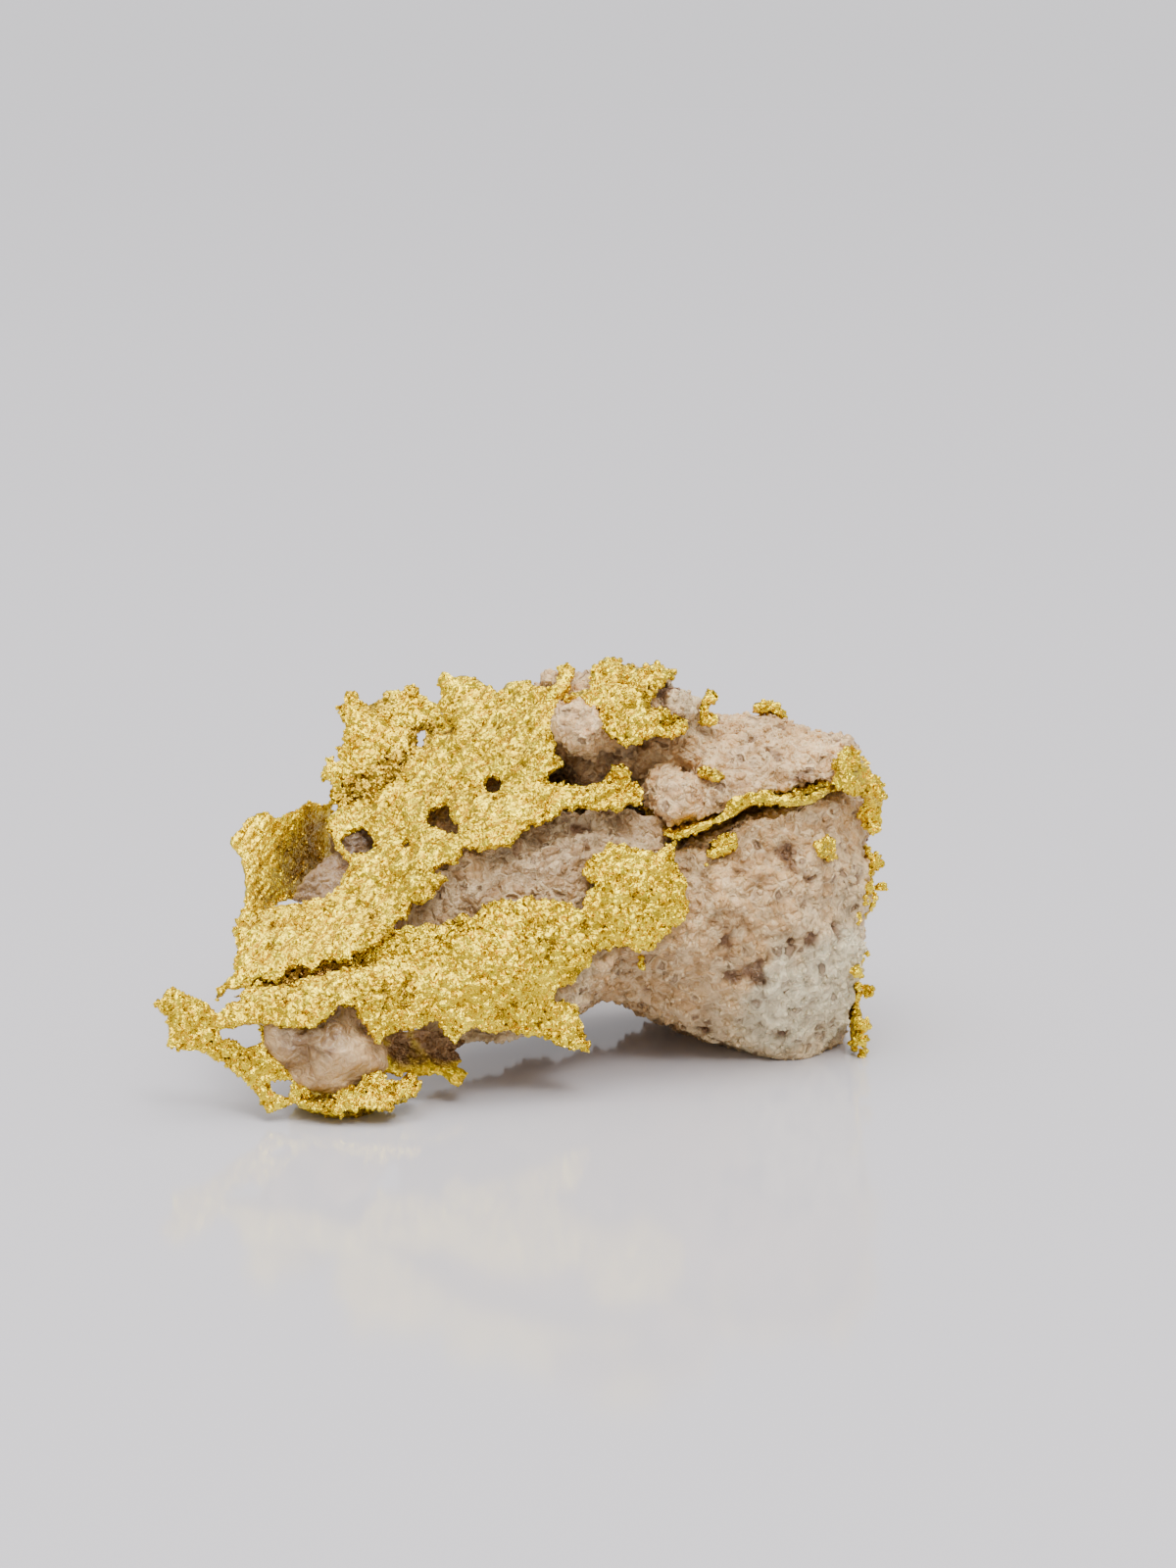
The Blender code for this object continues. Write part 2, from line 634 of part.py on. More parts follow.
    fin = Sheet(
        "gold_left_fin", FRONT,
        [(-8.8, -0.9), (-8.55, -0.7), (-8.3, -0.65), (-8.0, -0.85), (-7.7, -0.9), (-7.4, -0.68),
         (-7.2, -0.52), (-6.95, -0.5), (-6.72, -0.66), (-6.78, -1.2), (-6.72, -1.55), (-6.8, -2.0),
         (-7.2, -2.5), (-7.6, -2.95), (-8.1, -3.05), (-8.22, -3.4), (-8.45, -3.62), (-9.0, -3.68),
         (-8.98, -3.45), (-8.75, -3.05), (-8.72, -2.5),
         (-8.85, -1.8), (-9.1, -1.5), (-9.0, -1.2), (-8.75, -1.05)],
        through([
            (-9.0, -1.4, 0.3), (-8.4, -0.7, 0.8), (-8.6, -3.1, -0.8), (-7.2, -0.6, 1.7),
            (-6.7, -1.2, 2.6), (-7.0, -2.2, 2.0), (-7.7, -2.9, 0.6), (-8.0, -1.8, 0.8),
        ]),
        cell=0.7,
    )
    back = Sheet(
        "gold_back_leaf", FRONT,
        [(-6.4, -0.42), (-6.6, -0.08), (-6.82, 0.3), (-6.75, 0.68), (-6.52, 0.55), (-6.3, 0.7),
         (-6.4, 0.9), (-6.18, 1.2), (-6.2, 1.58), (-6.45, 2.0), (-6.2, 2.1), (-6.15, 2.33),
         (-5.92, 2.28), (-5.85, 2.0), (-5.4, 2.08), (-5.0, 2.35), (-4.62, 2.38), (-4.5, 2.58),
         (-4.32, 2.45), (-4.0, 2.1), (-3.55, 1.7), (-3.5, 1.0), (-4.38, 0.1), (-5.38, -0.5),
         (-6.0, -0.7)],
        through([
            (-6.7, 0.3, 2.1), (-6.2, 2.2, 3.1), (-4.4, 2.4, 3.3), (-3.5, 1.2, 2.7),
            (-4.4, 0.2, 2.2), (-6.2, -0.5, 1.9), (-5.3, 1.0, 2.5),
        ]),
        holes=[[(-4.38, 1.38), (-4.15, 1.45), (-4.1, 1.0), (-4.32, 0.85)]],
        cell=0.8,
    )
    crust = Sheet(
        "gold_top_crust", FRONT,
        [(-0.6, 2.2), (-0.25, 2.35), (0.1, 2.35), (0.1, 2.75), (0.3, 3.05), (1.0, 3.05),
         (1.38, 2.9), (1.8, 3.0), (2.28, 2.92), (2.1, 2.68), (1.85, 2.45), (1.55, 2.18),
         (1.7, 1.9), (2.4, 1.72), (2.58, 1.55), (2.25, 1.28), (1.7, 1.2), (1.12, 1.1),
         (0.62, 1.3), (0.45, 1.62), (0.25, 2.0), (-0.15, 2.15)],
        through([
            (0.6, 1.4, -0.8), (2.2, 1.4, -0.2), (1.0, 2.2, -0.3), (0.3, 2.9, 0.6),
            (2.1, 2.8, 0.7), (-0.4, 2.25, -0.2), (1.5, 1.3, -0.6),
        ]),
        cell=0.7,
    )
    tip = Sheet(
        "gold_tip_spray", FRONT,
        [(2.82, 1.55), (2.9, 1.95), (2.98, 2.2), (3.18, 2.4), (3.3, 2.25), (3.15, 2.05),
         (3.08, 1.85), (3.28, 1.72), (3.2, 1.55), (2.98, 1.5)],
        through([(2.8, 1.6, 0.5), (3.3, 1.7, 0.8), (3.2, 2.4, 0.9)]),
        cell=0.6,
    )
    end = Sheet(
        "gold_right_cluster", FRONT,
        [(6.12, -0.02), (6.32, 0.25), (6.2, 0.52), (6.55, 0.88), (6.85, 0.98), (6.95, 0.5),
         (7.22, 0.38), (7.48, 0.05), (7.62, -0.28), (7.48, -0.58), (7.58, -0.95), (7.42, -1.32),
         (7.15, -1.15), (6.98, -0.9), (6.95, -0.65), (7.18, -0.48), (6.95, -0.28), (6.55, -0.15)],
        through([
            (6.2, 0.3, -0.1), (6.8, 0.9, 0.7), (6.7, 0.0, 0.2), (7.4, 0.0, 1.2),
            (7.4, -1.1, 1.5), (7.0, -0.8, 1.3),
        ]),
        cell=0.6,
    )
    crack = Sheet(
        "gold_crack_leaf", PLAN,
        [(2.3, -0.95), (3.0, -1.0), (3.8, -0.75), (4.6, -1.0), (5.4, -0.7), (5.9, 0.2), (6.5, 1.2),
         (7.0, 2.3), (7.2, 3.4), (7.1, 4.6), (6.4, 5.6), (5.2, 6.4), (3.8, 6.7), (2.2, 6.4),
         (1.2, 5.0), (1.6, 3.2), (1.4, 1.4), (1.9, 0.2)],
        crack_surface,
        cell=1.0,
    )
    right = Sheet(
        "gold_right_leaf", SIDE,
        [(2.5, -1.6), (1.75, -1.75), (1.5, -2.2), (1.9, -2.5), (1.45, -2.75), (1.6, -3.2), (3.0, -3.35),
         (3.2, -4.0), (2.2, -4.3), (2.0, -4.8), (2.3, -5.05), (1.7, -5.25), (1.75, -5.5),
         (2.3, -5.6), (1.6, -5.8), (1.5, -6.3), (1.7, -6.85), (2.1, -6.8), (2.4, -6.2), (3.4, -5.8),
         (4.2, -5.1), (4.6, -4.2), (4.4, -3.0), (4.0, -2.2), (3.2, -1.7)],
        through([
            (1.7, -2.0, 7.3), (1.6, -3.0, 7.4), (1.7, -5.0, 7.05), (1.6, -6.5, 6.95),
            (4.0, -3.0, 7.0), (4.0, -5.0, 6.7), (3.2, -2.0, 7.1), (3.1, -3.8, 7.0),
        ]),
        cell=0.9,
    )
    rear = Sheet(
        "gold_rear_leaf", FRONT,
        [(6.2, -1.7), (5.0, -1.3), (3.6, -1.7), (2.2, -1.4), (0.6, -1.9), (-0.9, -2.1),
         (-2.3, -3.1), (-1.7, -4.1), (-0.2, -3.9), (1.1, -4.7), (2.5, -4.5), (3.4, -5.2),
         (4.7, -4.8), (5.4, -4.1), (6.3, -3.5), (6.0, -2.6)],
        through([
            (6.0, -2.5, 5.6), (4.0, -1.6, 6.2), (4.0, -4.6, 6.1), (1.0, -2.2, 6.1),
            (1.0, -4.4, 5.9), (-2.0, -3.2, 4.8), (2.5, -3.2, 6.5),
        ]),
        cell=1.1,
    )
    crest = Sheet(
        "gold_rear_crest", FRONT,
        [(-3.4, 0.9), (-2.4, 1.8), (-1.4, 2.0), (0.0, 2.5), (1.2, 2.1), (2.2, 2.0), (3.6, 1.5),
         (4.8, 1.3), (4.2, 0.8), (2.6, 1.2), (1.0, 0.8), (-0.6, 1.0), (-1.8, 0.4), (-3.0, 0.2)],
        through([
            (-3.2, 0.7, 4.4), (-1.0, 1.2, 5.2), (0.5, 2.4, 4.9), (2.0, 1.4, 5.8),
            (4.5, 1.3, 5.9), (-2.0, 1.8, 4.4),
        ]),
        cell=1.0,
    )
    front = [upper, lower, spray, bottom, fold, middle, crust, tip, end]
    return {leaf.name: leaf for leaf in [*front, fin, back, crack, right, rear, crest]}


def quartz_block(leaves):
    """The quartz below the crack: the block, and its arm behind the lower leaf."""
    block = [
        (2.0, -0.6, -0.6), (5.5, -0.1, -0.3), (6.9, -0.2, 0.6), (7.3, -2.4, 1.1), (7.1, -4.2, 1.1),
        (6.85, -5.8, 1.3), (5.6, -7.3, 1.8), (4.0, -6.8, 1.4), (2.5, -6.1, 0.4), (0.2, -5.4, 0.1),
        (3.6, -3.0, -1.5), (5.4, -3.6, -1.1), (1.0, -3.6, -1.8), (4.4, -5.4, -0.5),
        (7.4, 0.4, 4.4), (7.2, -4.5, 4.8), (6.4, -6.9, 4.4), (2.9, -6.6, 4.9), (1.4, -5.6, 5.7),
        (5.0, -4.6, 6.5), (5.6, 1.0, 5.8), (2.0, -3.4, 6.7), (1.5, 0.9, 6.4), (-0.6, -4.4, 5.4),
    ]
    arm = [
        (-5.0, -4.0, -1.6), (-3.2, -1.5, -1.4), (-1.0, -0.7, -1.2), (1.7, -0.5, -0.8),
        (-4.4, -6.4, -2.2), (-3.3, -6.95, -2.2), (-1.7, -6.6, -1.9), (-0.2, -5.9, -1.3),
        (-2.8, -4.8, -2.6), (-1.0, -4.6, -2.3), (1.2, -3.8, -1.7), (0.9, -2.2, -1.7),
        (-5.0, -4.2, 2.0), (-4.2, -6.0, 1.6), (-3.2, -1.0, 3.2), (0.5, 0.2, 5.8),
        (0.5, -5.4, 4.8), (-2.0, -5.8, 3.4), (-2.6, -2.0, 4.8),
    ]
    return rock("quartz_block", [block, arm], leaves, faces=2300, wear=3,
                lumps=(0.5, 0.9), grain=(0.22, 0.55), voxel=0.22)


def quartz_upper_slab(leaves):
    """The quartz above the crack: the slab, the wedge behind the upper leaf, and the cap with its nub."""
    slab = [
        (1.2, 0.3, -0.6), (1.7, -1.3, -1.0), (2.3, -1.6, -0.9), (4.8, -1.0, -0.8), (6.4, -0.6, 0.0),
        (7.05, 0.4, 0.8), (6.8, 1.2, 1.4), (5.2, 1.55, 1.7), (4.1, 1.85, 2.1), (3.2, 1.5, 1.6),
        (2.3, 1.2, 1.2), (2.1, 0.3, -1.3), (7.0, 0.5, 4.2), (6.2, 1.1, 5.2), (4.0, 1.6, 5.6),
        (1.0, 1.8, 5.6), (6.0, 0.0, 6.0), (1.5, 0.0, 6.2), (0.4, -0.6, 1.0),
    ]
    wedge = [
        (-4.9, -3.2, -0.5), (-5.3, -2.6, 2.0), (-3.2, -2.0, -0.8), (-1.2, -1.2, -0.8),
        (1.4, -1.0, -0.6), (1.4, 0.4, 0.8), (-0.8, 0.9, 1.2), (-3.0, 0.8, 1.4), (-4.7, -0.4, 2.2),
        (-4.2, -1.8, 3.8), (-2.6, -1.2, 4.8), (1.0, -0.2, 6.0), (0.6, 1.6, 5.2), (-2.6, 1.2, 4.0),
    ]
    cap = [
        (-1.3, 2.4, 1.5), (-1.3, 0.7, 1.2), (0.7, 0.9, -0.6), (2.5, 1.2, -0.1), (2.95, 1.75, 0.3),
        (3.0, 2.2, 0.8), (2.3, 2.65, 1.0), (0.8, 3.2, 1.0), (0.1, 3.0, 0.9), (-0.9, 2.8, 1.7),
        (-1.7, 2.3, 2.5), (-1.9, 1.4, 4.0), (0.4, 2.8, 3.8), (2.2, 2.2, 3.8), (-1.0, 0.7, 4.2),
        (2.4, 1.2, 4.2), (-0.1, 2.1, 0.0),
    ]
    nub = [
        (-0.8, 2.1, -0.2), (-0.85, 0.8, -0.7), (-0.4, 0.6, -0.8), (0.6, 0.9, -0.7), (0.4, 2.0, -0.4),
        (-0.3, 1.5, -1.3), (0.2, 1.25, -1.2), (-0.6, 1.4, 1.2), (0.5, 1.4, 1.2),
    ]
    under_cap = Sheet(
        "under_cap", FRONT,
        [(-1.1, 0.22), (-0.57, 0.47), (0.05, 0.55), (0.55, 0.85), (1.0, 0.95), (2.0, 1.1), (2.35, 1.12),
         (1.8, 0.65), (1.45, 0.3), (1.2, 0.15), (1.0, 0.35), (0.62, 0.35), (0.3, 0.0), (-1.1, -0.05)],
        through([(-1.0, 0.1, 2.2), (0.5, 0.3, 2.4), (2.2, 1.0, 1.6), (1.2, 0.6, 2.2)]),
    )
    return rock("quartz_upper_slab", [slab, wedge, cap, nub], leaves, faces=1750, wear=3,
                lumps=(0.45, 0.9), grain=(0.2, 0.55), voxel=0.18, hollows=[under_cap])


def quartz_pebble(leaves):
    """The grain of quartz that the gold holds under its lower left end."""
    corners = [
        (-8.4, -6.3, -2.9), (-8.35, -6.9, -3.1), (-7.9, -7.5, -3.2), (-7.3, -7.9, -3.3),
        (-6.5, -8.1, -3.4), (-5.75, -7.8, -3.4), (-5.0, -7.3, -3.2), (-4.92, -6.85, -3.0),
        (-5.3, -6.4, -2.8), (-6.4, -5.5, -2.5), (-7.8, -5.8, -2.6), (-6.75, -6.9, -4.5),
        (-5.9, -7.0, -4.3), (-7.3, -7.3, -4.25), (-7.5, -6.4, -4.05), (-6.3, -6.3, -4.05),
        (-7.6, -6.2, -1.4), (-5.9, -6.2, -1.3), (-7.0, -7.3, -1.7), (-5.8, -7.2, -1.6),
    ]
    return rock("quartz_pebble", [corners], leaves, faces=420, wear=4,
                lumps=(0.22, 0.7), grain=(0.1, 0.4), voxel=0.15)


def quartz_back_stone(leaves):
    """The grain of quartz between the left fin and the upper leaf."""
    corners = [
        (-7.65, -3.0, -0.1), (-7.3, -2.3, -0.4), (-6.95, -1.9, 0.0), (-6.4, -1.6, 0.6),
        (-5.5, -1.2, 1.4), (-5.4, -1.9, 0.6), (-5.9, -2.9, -0.4), (-7.0, -3.2, -0.6),
        (-7.3, -2.9, 1.2), (-6.4, -2.0, 2.2), (-5.5, -2.4, 2.0), (-6.2, -3.1, 1.2),
    ]
    return rock("quartz_back_stone", [corners], leaves, faces=320, wear=3,
                lumps=(0.18, 0.6), grain=(0.08, 0.4), voxel=0.14)


def build():
    """Makes the whole specimen."""
    for obj in list(bpy.data.objects):
        bpy.data.objects.remove(obj)
    leaves = gold_sheets()
    everywhere = [(-12, -8), (12, -8), (12, 12), (-12, 12)]
    crack = Crack("crack", PLAN, everywhere, crack_surface)

    def on(*names):
        return [(leaves[name.lstrip("-")], -1 if name.startswith("-") else 1) for name in names]

    block = quartz_block([(crack, 1), *on(
        "-gold_upper_leaf", "-gold_lower_leaf", "-gold_middle_leaf", "-gold_bottom_fold",
        "-gold_right_cluster", "gold_right_leaf", "gold_rear_leaf",
    )])
    slab = quartz_upper_slab([(crack, -1), *on(
        "-gold_upper_leaf", "-gold_top_crust", "-gold_tip_spray", "-gold_right_cluster",
        "gold_back_leaf", "gold_rear_crest",
    )])
    pebble = quartz_pebble(on(
        "-gold_lower_leaf", "-gold_left_spray", "-gold_bottom_leaf", "gold_bottom_fold",
    ))
    stone = quartz_back_stone(on("-gold_upper_leaf", "gold_left_fin"))
    rocks = [block, slab, pebble, stone]

    golds = {name: leaf.solid() for name, leaf in leaves.items()}
    for name, near in (
        ("gold_middle_leaf", "gold_lower_leaf"), ("gold_middle_leaf", "gold_upper_leaf"),
        ("gold_left_fin", "gold_upper_leaf"), ("gold_back_leaf", "gold_upper_leaf"),
        ("gold_left_spray", "gold_lower_leaf"), ("gold_bottom_fold", "gold_lower_leaf"),
        ("gold_top_crust", "gold_upper_leaf"), ("gold_back_leaf", "gold_left_fin"),
        ("gold_upper_leaf", "gold_lower_leaf"),
    ):
        cut(golds[name], leaves[near].clearance())
    pieces = [whole(piece) for piece in golds.values()]
    pieces += [
        nugget("gold_nugget_top", PLAN, 1, (4.65, 2.2), (0.85, 0.5, 0.6), -0.15, slab),
        nugget("gold_nugget_slab", FRONT, -1, (3.12, 0.25), (0.7, 0.3, 0.4), -0.35, slab),
        nugget("gold_nugget_seam", FRONT, -1, (3.45, -1.6), (0.85, 0.5, 0.4), 0.45, block),
        nugget("gold_nugget_face", FRONT, -1, (6.1, -1.65), (0.5, 0.62, 0.4), 0.3, block),
    ]

    specimen = bpy.data.collections.new("leaf_gold_specimen")
    bpy.context.scene.collection.children.link(specimen)
    holder = bpy.data.objects.new("leaf_gold_specimen", None)
    specimen.objects.link(holder)
    for piece, look in [(p, QUARTZ) for p in rocks] + [(p, GOLD) for p in pieces]:
        finish(set_down(piece), look, holder)
        bpy.context.scene.collection.objects.unlink(piece)
        specimen.objects.link(piece)


if __name__ == "__main__":
    build()
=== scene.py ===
"""Leaf gold specimen: ragged crystalline leaves of native gold on a cracked piece of granular quartz.

Leaves, stones and knobs are drawn as they look from the front: mm to the right, mm up, and mm deep,
away from the viewer. Eye.to_frame turns such points into metres in the specimen's own frame. An
outline seen from the front is written in forty-to-a-mm steps, counted right and down as a view of
30 by 40 mm is read, because that is how fine its teeth are.
"""
import logging
import math
from collections.abc import Callable
from dataclasses import dataclass, field
from enum import Enum

import bmesh
import bpy
import numpy as np
from mathutils import Matrix, Vector, noise
from mathutils.geometry import delaunay_2d_cdt
from mathutils.kdtree import KDTree


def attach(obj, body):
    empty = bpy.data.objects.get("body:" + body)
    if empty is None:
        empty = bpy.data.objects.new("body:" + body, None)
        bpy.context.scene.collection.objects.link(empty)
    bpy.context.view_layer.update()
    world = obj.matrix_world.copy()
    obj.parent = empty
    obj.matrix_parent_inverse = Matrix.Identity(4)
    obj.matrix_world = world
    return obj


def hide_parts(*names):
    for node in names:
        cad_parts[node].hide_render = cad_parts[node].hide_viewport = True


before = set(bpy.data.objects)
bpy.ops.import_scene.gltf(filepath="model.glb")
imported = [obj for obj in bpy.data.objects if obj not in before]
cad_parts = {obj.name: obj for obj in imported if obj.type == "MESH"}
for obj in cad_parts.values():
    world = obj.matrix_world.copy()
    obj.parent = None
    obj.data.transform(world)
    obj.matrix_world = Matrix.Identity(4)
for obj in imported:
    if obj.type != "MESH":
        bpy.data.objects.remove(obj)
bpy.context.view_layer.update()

LOG = logging.getLogger("leaf_gold")
MM = 0.001
STEPS_PER_MM = 40.0
STEPS_MIDDLE = (600, 800)
JOIN = 1e-7

Loop = list[tuple[float, float]]
Anchors = list[tuple[float, float, float]]
Ball = tuple[float, float, float, float]
Colour = tuple[float, float, float, float]
Bend = Callable[[np.ndarray, np.ndarray], np.ndarray]
Value = bpy.types.NodeSocket | float | tuple[float, ...]


class View(Enum):
    """Which of right, up and deep an outline is drawn in, and which its bend moves it along."""

    FRONT = (0, 1, 2)
    PLAN = (0, 2, 1)
    SIDE = (2, 1, 0)


class Grain(Enum):
    """How a gold surface is grown."""

    RIDGED = "ridged"
    KNOBBY = "knobby"


@dataclass(frozen=True)
class Eye:
    """The camera, and the frame that the front view is drawn in."""

    place: tuple[float, float, float] = (1.49, -109.36, 33.25)
    distance: float = 112.0
    pitch: float = math.radians(13.4)
    lens: float = 100.5
    sensor: float = 36.0
    clip: tuple[float, float] = (0.002, 20.0)

    def to_frame(self, spots: np.ndarray) -> np.ndarray:
        """Turns front-view points into the specimen's frame.

        Args:
            spots: rows of mm right, up and deep.

        Returns:
            Rows of x, y, z in metres.
        """
        right, up, deep = spots[:, 0], spots[:, 1], spots[:, 2]
        spread, away = 1 + deep / self.distance, self.distance + deep
        level, plunge = math.cos(self.pitch), math.sin(self.pitch)
        x = self.place[0] + right * spread
        y = self.place[1] + up * spread * plunge + away * level
        z = self.place[2] + up * spread * level - away * plunge
        return np.column_stack([x, y, z]) * MM

    def camera(self) -> None:
        """Sets up the camera."""
        data = bpy.data.cameras.new("camera")
        data.lens = self.lens
        data.sensor_width = data.sensor_height = self.sensor
        data.sensor_fit = "AUTO"
        data.clip_start, data.clip_end = self.clip
        camera = bpy.data.objects.new("camera", data)
        camera.location = Vector(self.place) * MM
        camera.rotation_euler = (math.pi / 2 - self.pitch, 0, 0)
        bpy.context.scene.collection.objects.link(camera)
        bpy.context.scene.camera = camera


EYE = Eye()
CRACK_RISE = 0.17


# Shape helpers

def steps(points: Loop) -> np.ndarray:
    """Turns an outline in steps right and down into mm right and up.

    Args:
        points: the outline's corners in steps.

    Returns:
        Rows of mm right and up.
    """
    drawn = np.array(points, float)
    return np.column_stack([drawn[:, 0] - STEPS_MIDDLE[0], STEPS_MIDDLE[1] - drawn[:, 1]]) / STEPS_PER_MM


def through(anchors: Anchors) -> Bend:
    """Finds the smooth surface through anchors.

    Args:
        anchors: points p, q, r.

    Returns:
        A function that gives r at arrays p, q.
    """
    known = np.array(anchors, float)

    def swing(p: np.ndarray, q: np.ndarray) -> np.ndarray:
        """Says how each anchor pulls at p, q."""
        square = (p[..., None] - known[:, 0]) ** 2 + (q[..., None] - known[:, 1]) ** 2
        return 0.5 * square * np.log(square + 1e-9)

    count = len(known)
    plane = np.column_stack([np.ones(count), known[:, 0], known[:, 1]])
    system = np.zeros((count + 3, count + 3))
    system[:count, :count] = swing(known[:, 0], known[:, 1])
    system[:count, count:] = plane
    system[count:, :count] = plane.T
    weights = np.linalg.solve(system, np.concatenate([known[:, 2], np.zeros(3)]))

    def surface(p: np.ndarray, q: np.ndarray) -> np.ndarray:
        """Gives the surface's r at p, q."""
        p, q = np.asarray(p, float), np.asarray(q, float)
        return swing(p, q) @ weights[:count] + weights[count] + weights[count + 1] * p + weights[count + 2] * q

    return surface


def crack_height(right: np.ndarray, deep: np.ndarray) -> np.ndarray:
    """Says how high the crack lies, which rises by CRACK_RISE mm for each mm deep.

    Args:
        right: mm to the right.
        deep: mm deep.

    Returns:
        mm up.
    """
    edge = np.array([
        (-8.0, -5.3), (-6.5, -4.6), (-5.0, -3.7), (-4.0, -2.6), (-3.0, -2.05), (-2.0, -1.65),
        (-1.0, -1.15), (0.0, -0.85), (1.5, -0.95), (2.2, -1.3), (3.5, -0.85), (4.2, -0.55),
        (5.0, -0.45), (6.0, -0.25), (7.5, -0.35), (9.0, -0.4),
    ])
    return np.interp(right, edge[:, 0], edge[:, 1]) + CRACK_RISE * np.asarray(deep)


def clouds(spots: np.ndarray, size: float, octaves: int = 2) -> np.ndarray:
    """Gives smooth unevenness.

    Args:
        spots: rows of points.
        size: how wide its swells are.
        octaves: how many finer layers it has.

    Returns:
        About -1 to 1 for each row.
    """
    return np.array([noise.fractal(Vector(spot), 1.0, 2.0, octaves) for spot in spots / size])


def knobs(spots: np.ndarray, size: float) -> np.ndarray:
    """Gives rounded knobs.

    Args:
        spots: rows of points.
        size: how far apart the knobs are.

    Returns:
        1 on top of a knob, down to 0 between them, for each row.
    """
    reach = 0.72
    nearest = np.array([noise.voronoi(Vector(spot))[0][0] for spot in spots / size])
    return np.clip(1 - (nearest / reach) ** 2, 0, 1)


def seams(spots: np.ndarray, size: float) -> np.ndarray:
    """Gives grains bounded by seams.

    Args:
        spots: rows of points.
        size: how wide the grains are.

    Returns:
        0 in a seam, and 1 well inside a grain, for each row.
    """
    width = 0.35
    near = np.array([noise.voronoi(Vector(spot))[0][:2] for spot in spots / size])
    return np.clip((near[:, 1] - near[:, 0]) / width, 0, 1)


def is_inside(loop: np.ndarray, spots: np.ndarray) -> np.ndarray:
    """Finds which spots lie within a loop.

    Args:
        loop: its corners.
        spots: rows of points in the same plane.

    Returns:
        True or False for each row.
    """
    inside = np.zeros(len(spots), bool)
    for start, end in zip(loop, np.roll(loop, -1, axis=0)):
        if start[1] != end[1]:
            level = (start[1] > spots[:, 1]) != (end[1] > spots[:, 1])
            share = (spots[:, 1] - start[1]) / (end[1] - start[1])
            inside ^= level & (spots[:, 0] < start[0] + share * (end[0] - start[0]))
    return inside


def ragged(loop: np.ndarray, step: float, teeth: float, seed: int) -> np.ndarray:
    """Draws a loop finer, with ragged teeth.

    Args:
        loop: the outline's corners.
        step: how far apart the new corners are.
        teeth: how far the teeth stand out or in.
        seed: which teeth.

    Returns:
        The new corners.
    """
    fine = []
    for start, end in zip(loop, np.roll(loop, -1, axis=0)):
        length = np.linalg.norm(end - start)
        count = max(1, round(length / step))
        fine += [start + (end - start) * k / count for k in range(count)]
    fine = np.array(fine)
    along = np.roll(fine, -1, axis=0) - np.roll(fine, 1, axis=0)
    along /= np.linalg.norm(along, axis=1, keepdims=True) + 1e-9
    aside = np.column_stack([along[:, 1], -along[:, 0]])
    spots = np.column_stack([fine, np.full(len(fine), seed)])
    coarse, small = 0.34, 0.15
    push = clouds(spots, coarse, 1) + 0.8 * clouds(spots + 9.0, small, 1)
    return fine + aside * (push * teeth)[:, None]


def fill(loops: list[np.ndarray], cell: float, seed: int) -> tuple[np.ndarray, list[tuple[int, ...]]]:
    """Covers an outline with small triangles.

    Args:
        loops: the outline, and then its holes.
        cell: how far apart the points are.
        seed: for the points' jitter.

    Returns:
        The points, and the triangles, all turning the same way.
    """
    rim = np.concatenate(loops)
    edges, first = [], 0
    for loop in loops:
        edges += [(first + k, first + (k + 1) % len(loop)) for k in range(len(loop))]
        first += len(loop)
    low, high = rim.min(axis=0), rim.max(axis=0)
    row_height, jitter, rim_gap = 0.866, 0.25, 0.6
    rows = np.arange(low[1], high[1], cell * row_height)
    columns = np.arange(low[0], high[0], cell)
    grid = np.array([(p + cell / 2 * (k % 2), q) for k, q in enumerate(rows) for p in columns])
    grid += np.random.default_rng(seed).uniform(-jitter, jitter, grid.shape) * cell
    keep = is_inside(loops[0], grid)
    for hole in loops[1:]:
        keep &= ~is_inside(hole, grid)
    grid = grid[keep]
    far = distances(rim, grid) > rim_gap * cell
    points = np.concatenate([rim, grid[far]])
    flat = delaunay_2d_cdt([Vector(p) for p in points], edges, [], 0, 1e-6)
    points = np.array([tuple(v) for v in flat[0]])
    faces = np.array([face for face in flat[2] if len(face) == 3])
    middle = points[faces].mean(axis=1)
    keep = is_inside(loops[0], middle)
    for hole in loops[1:]:
        keep &= ~is_inside(hole, middle)
    a, b, c = (points[faces[:, k]] for k in range(3))
    turn = (b[:, 0] - a[:, 0]) * (c[:, 1] - a[:, 1]) - (b[:, 1] - a[:, 1]) * (c[:, 0] - a[:, 0])
    faces[turn < 0] = faces[turn < 0][:, ::-1]
    return points, [tuple(int(k) for k in face) for face in faces[keep]]


def distances(marks: np.ndarray, spots: np.ndarray) -> np.ndarray:
    """Measures how far each spot is from the nearest mark.

    Args:
        marks: rows of two or three numbers.
        spots: rows of as many numbers.

    Returns:
        A distance for each spot.
    """
    tree = KDTree(len(marks))
    for number, mark in enumerate(marks):
        tree.insert((*mark, 0.0) if len(mark) == 2 else mark, number)
    tree.balance()
    return np.array([tree.find((*s, 0.0) if len(s) == 2 else s)[2] for s in spots])


def place(name: str, mesh: bpy.types.Mesh) -> bpy.types.Object:
    """Puts a mesh in the scene.

    Args:
        name: the object's name.
        mesh: its mesh.

    Returns:
        The object.
    """
    obj = bpy.data.objects.new(name, mesh)
    bpy.context.scene.collection.objects.link(obj)
    return obj


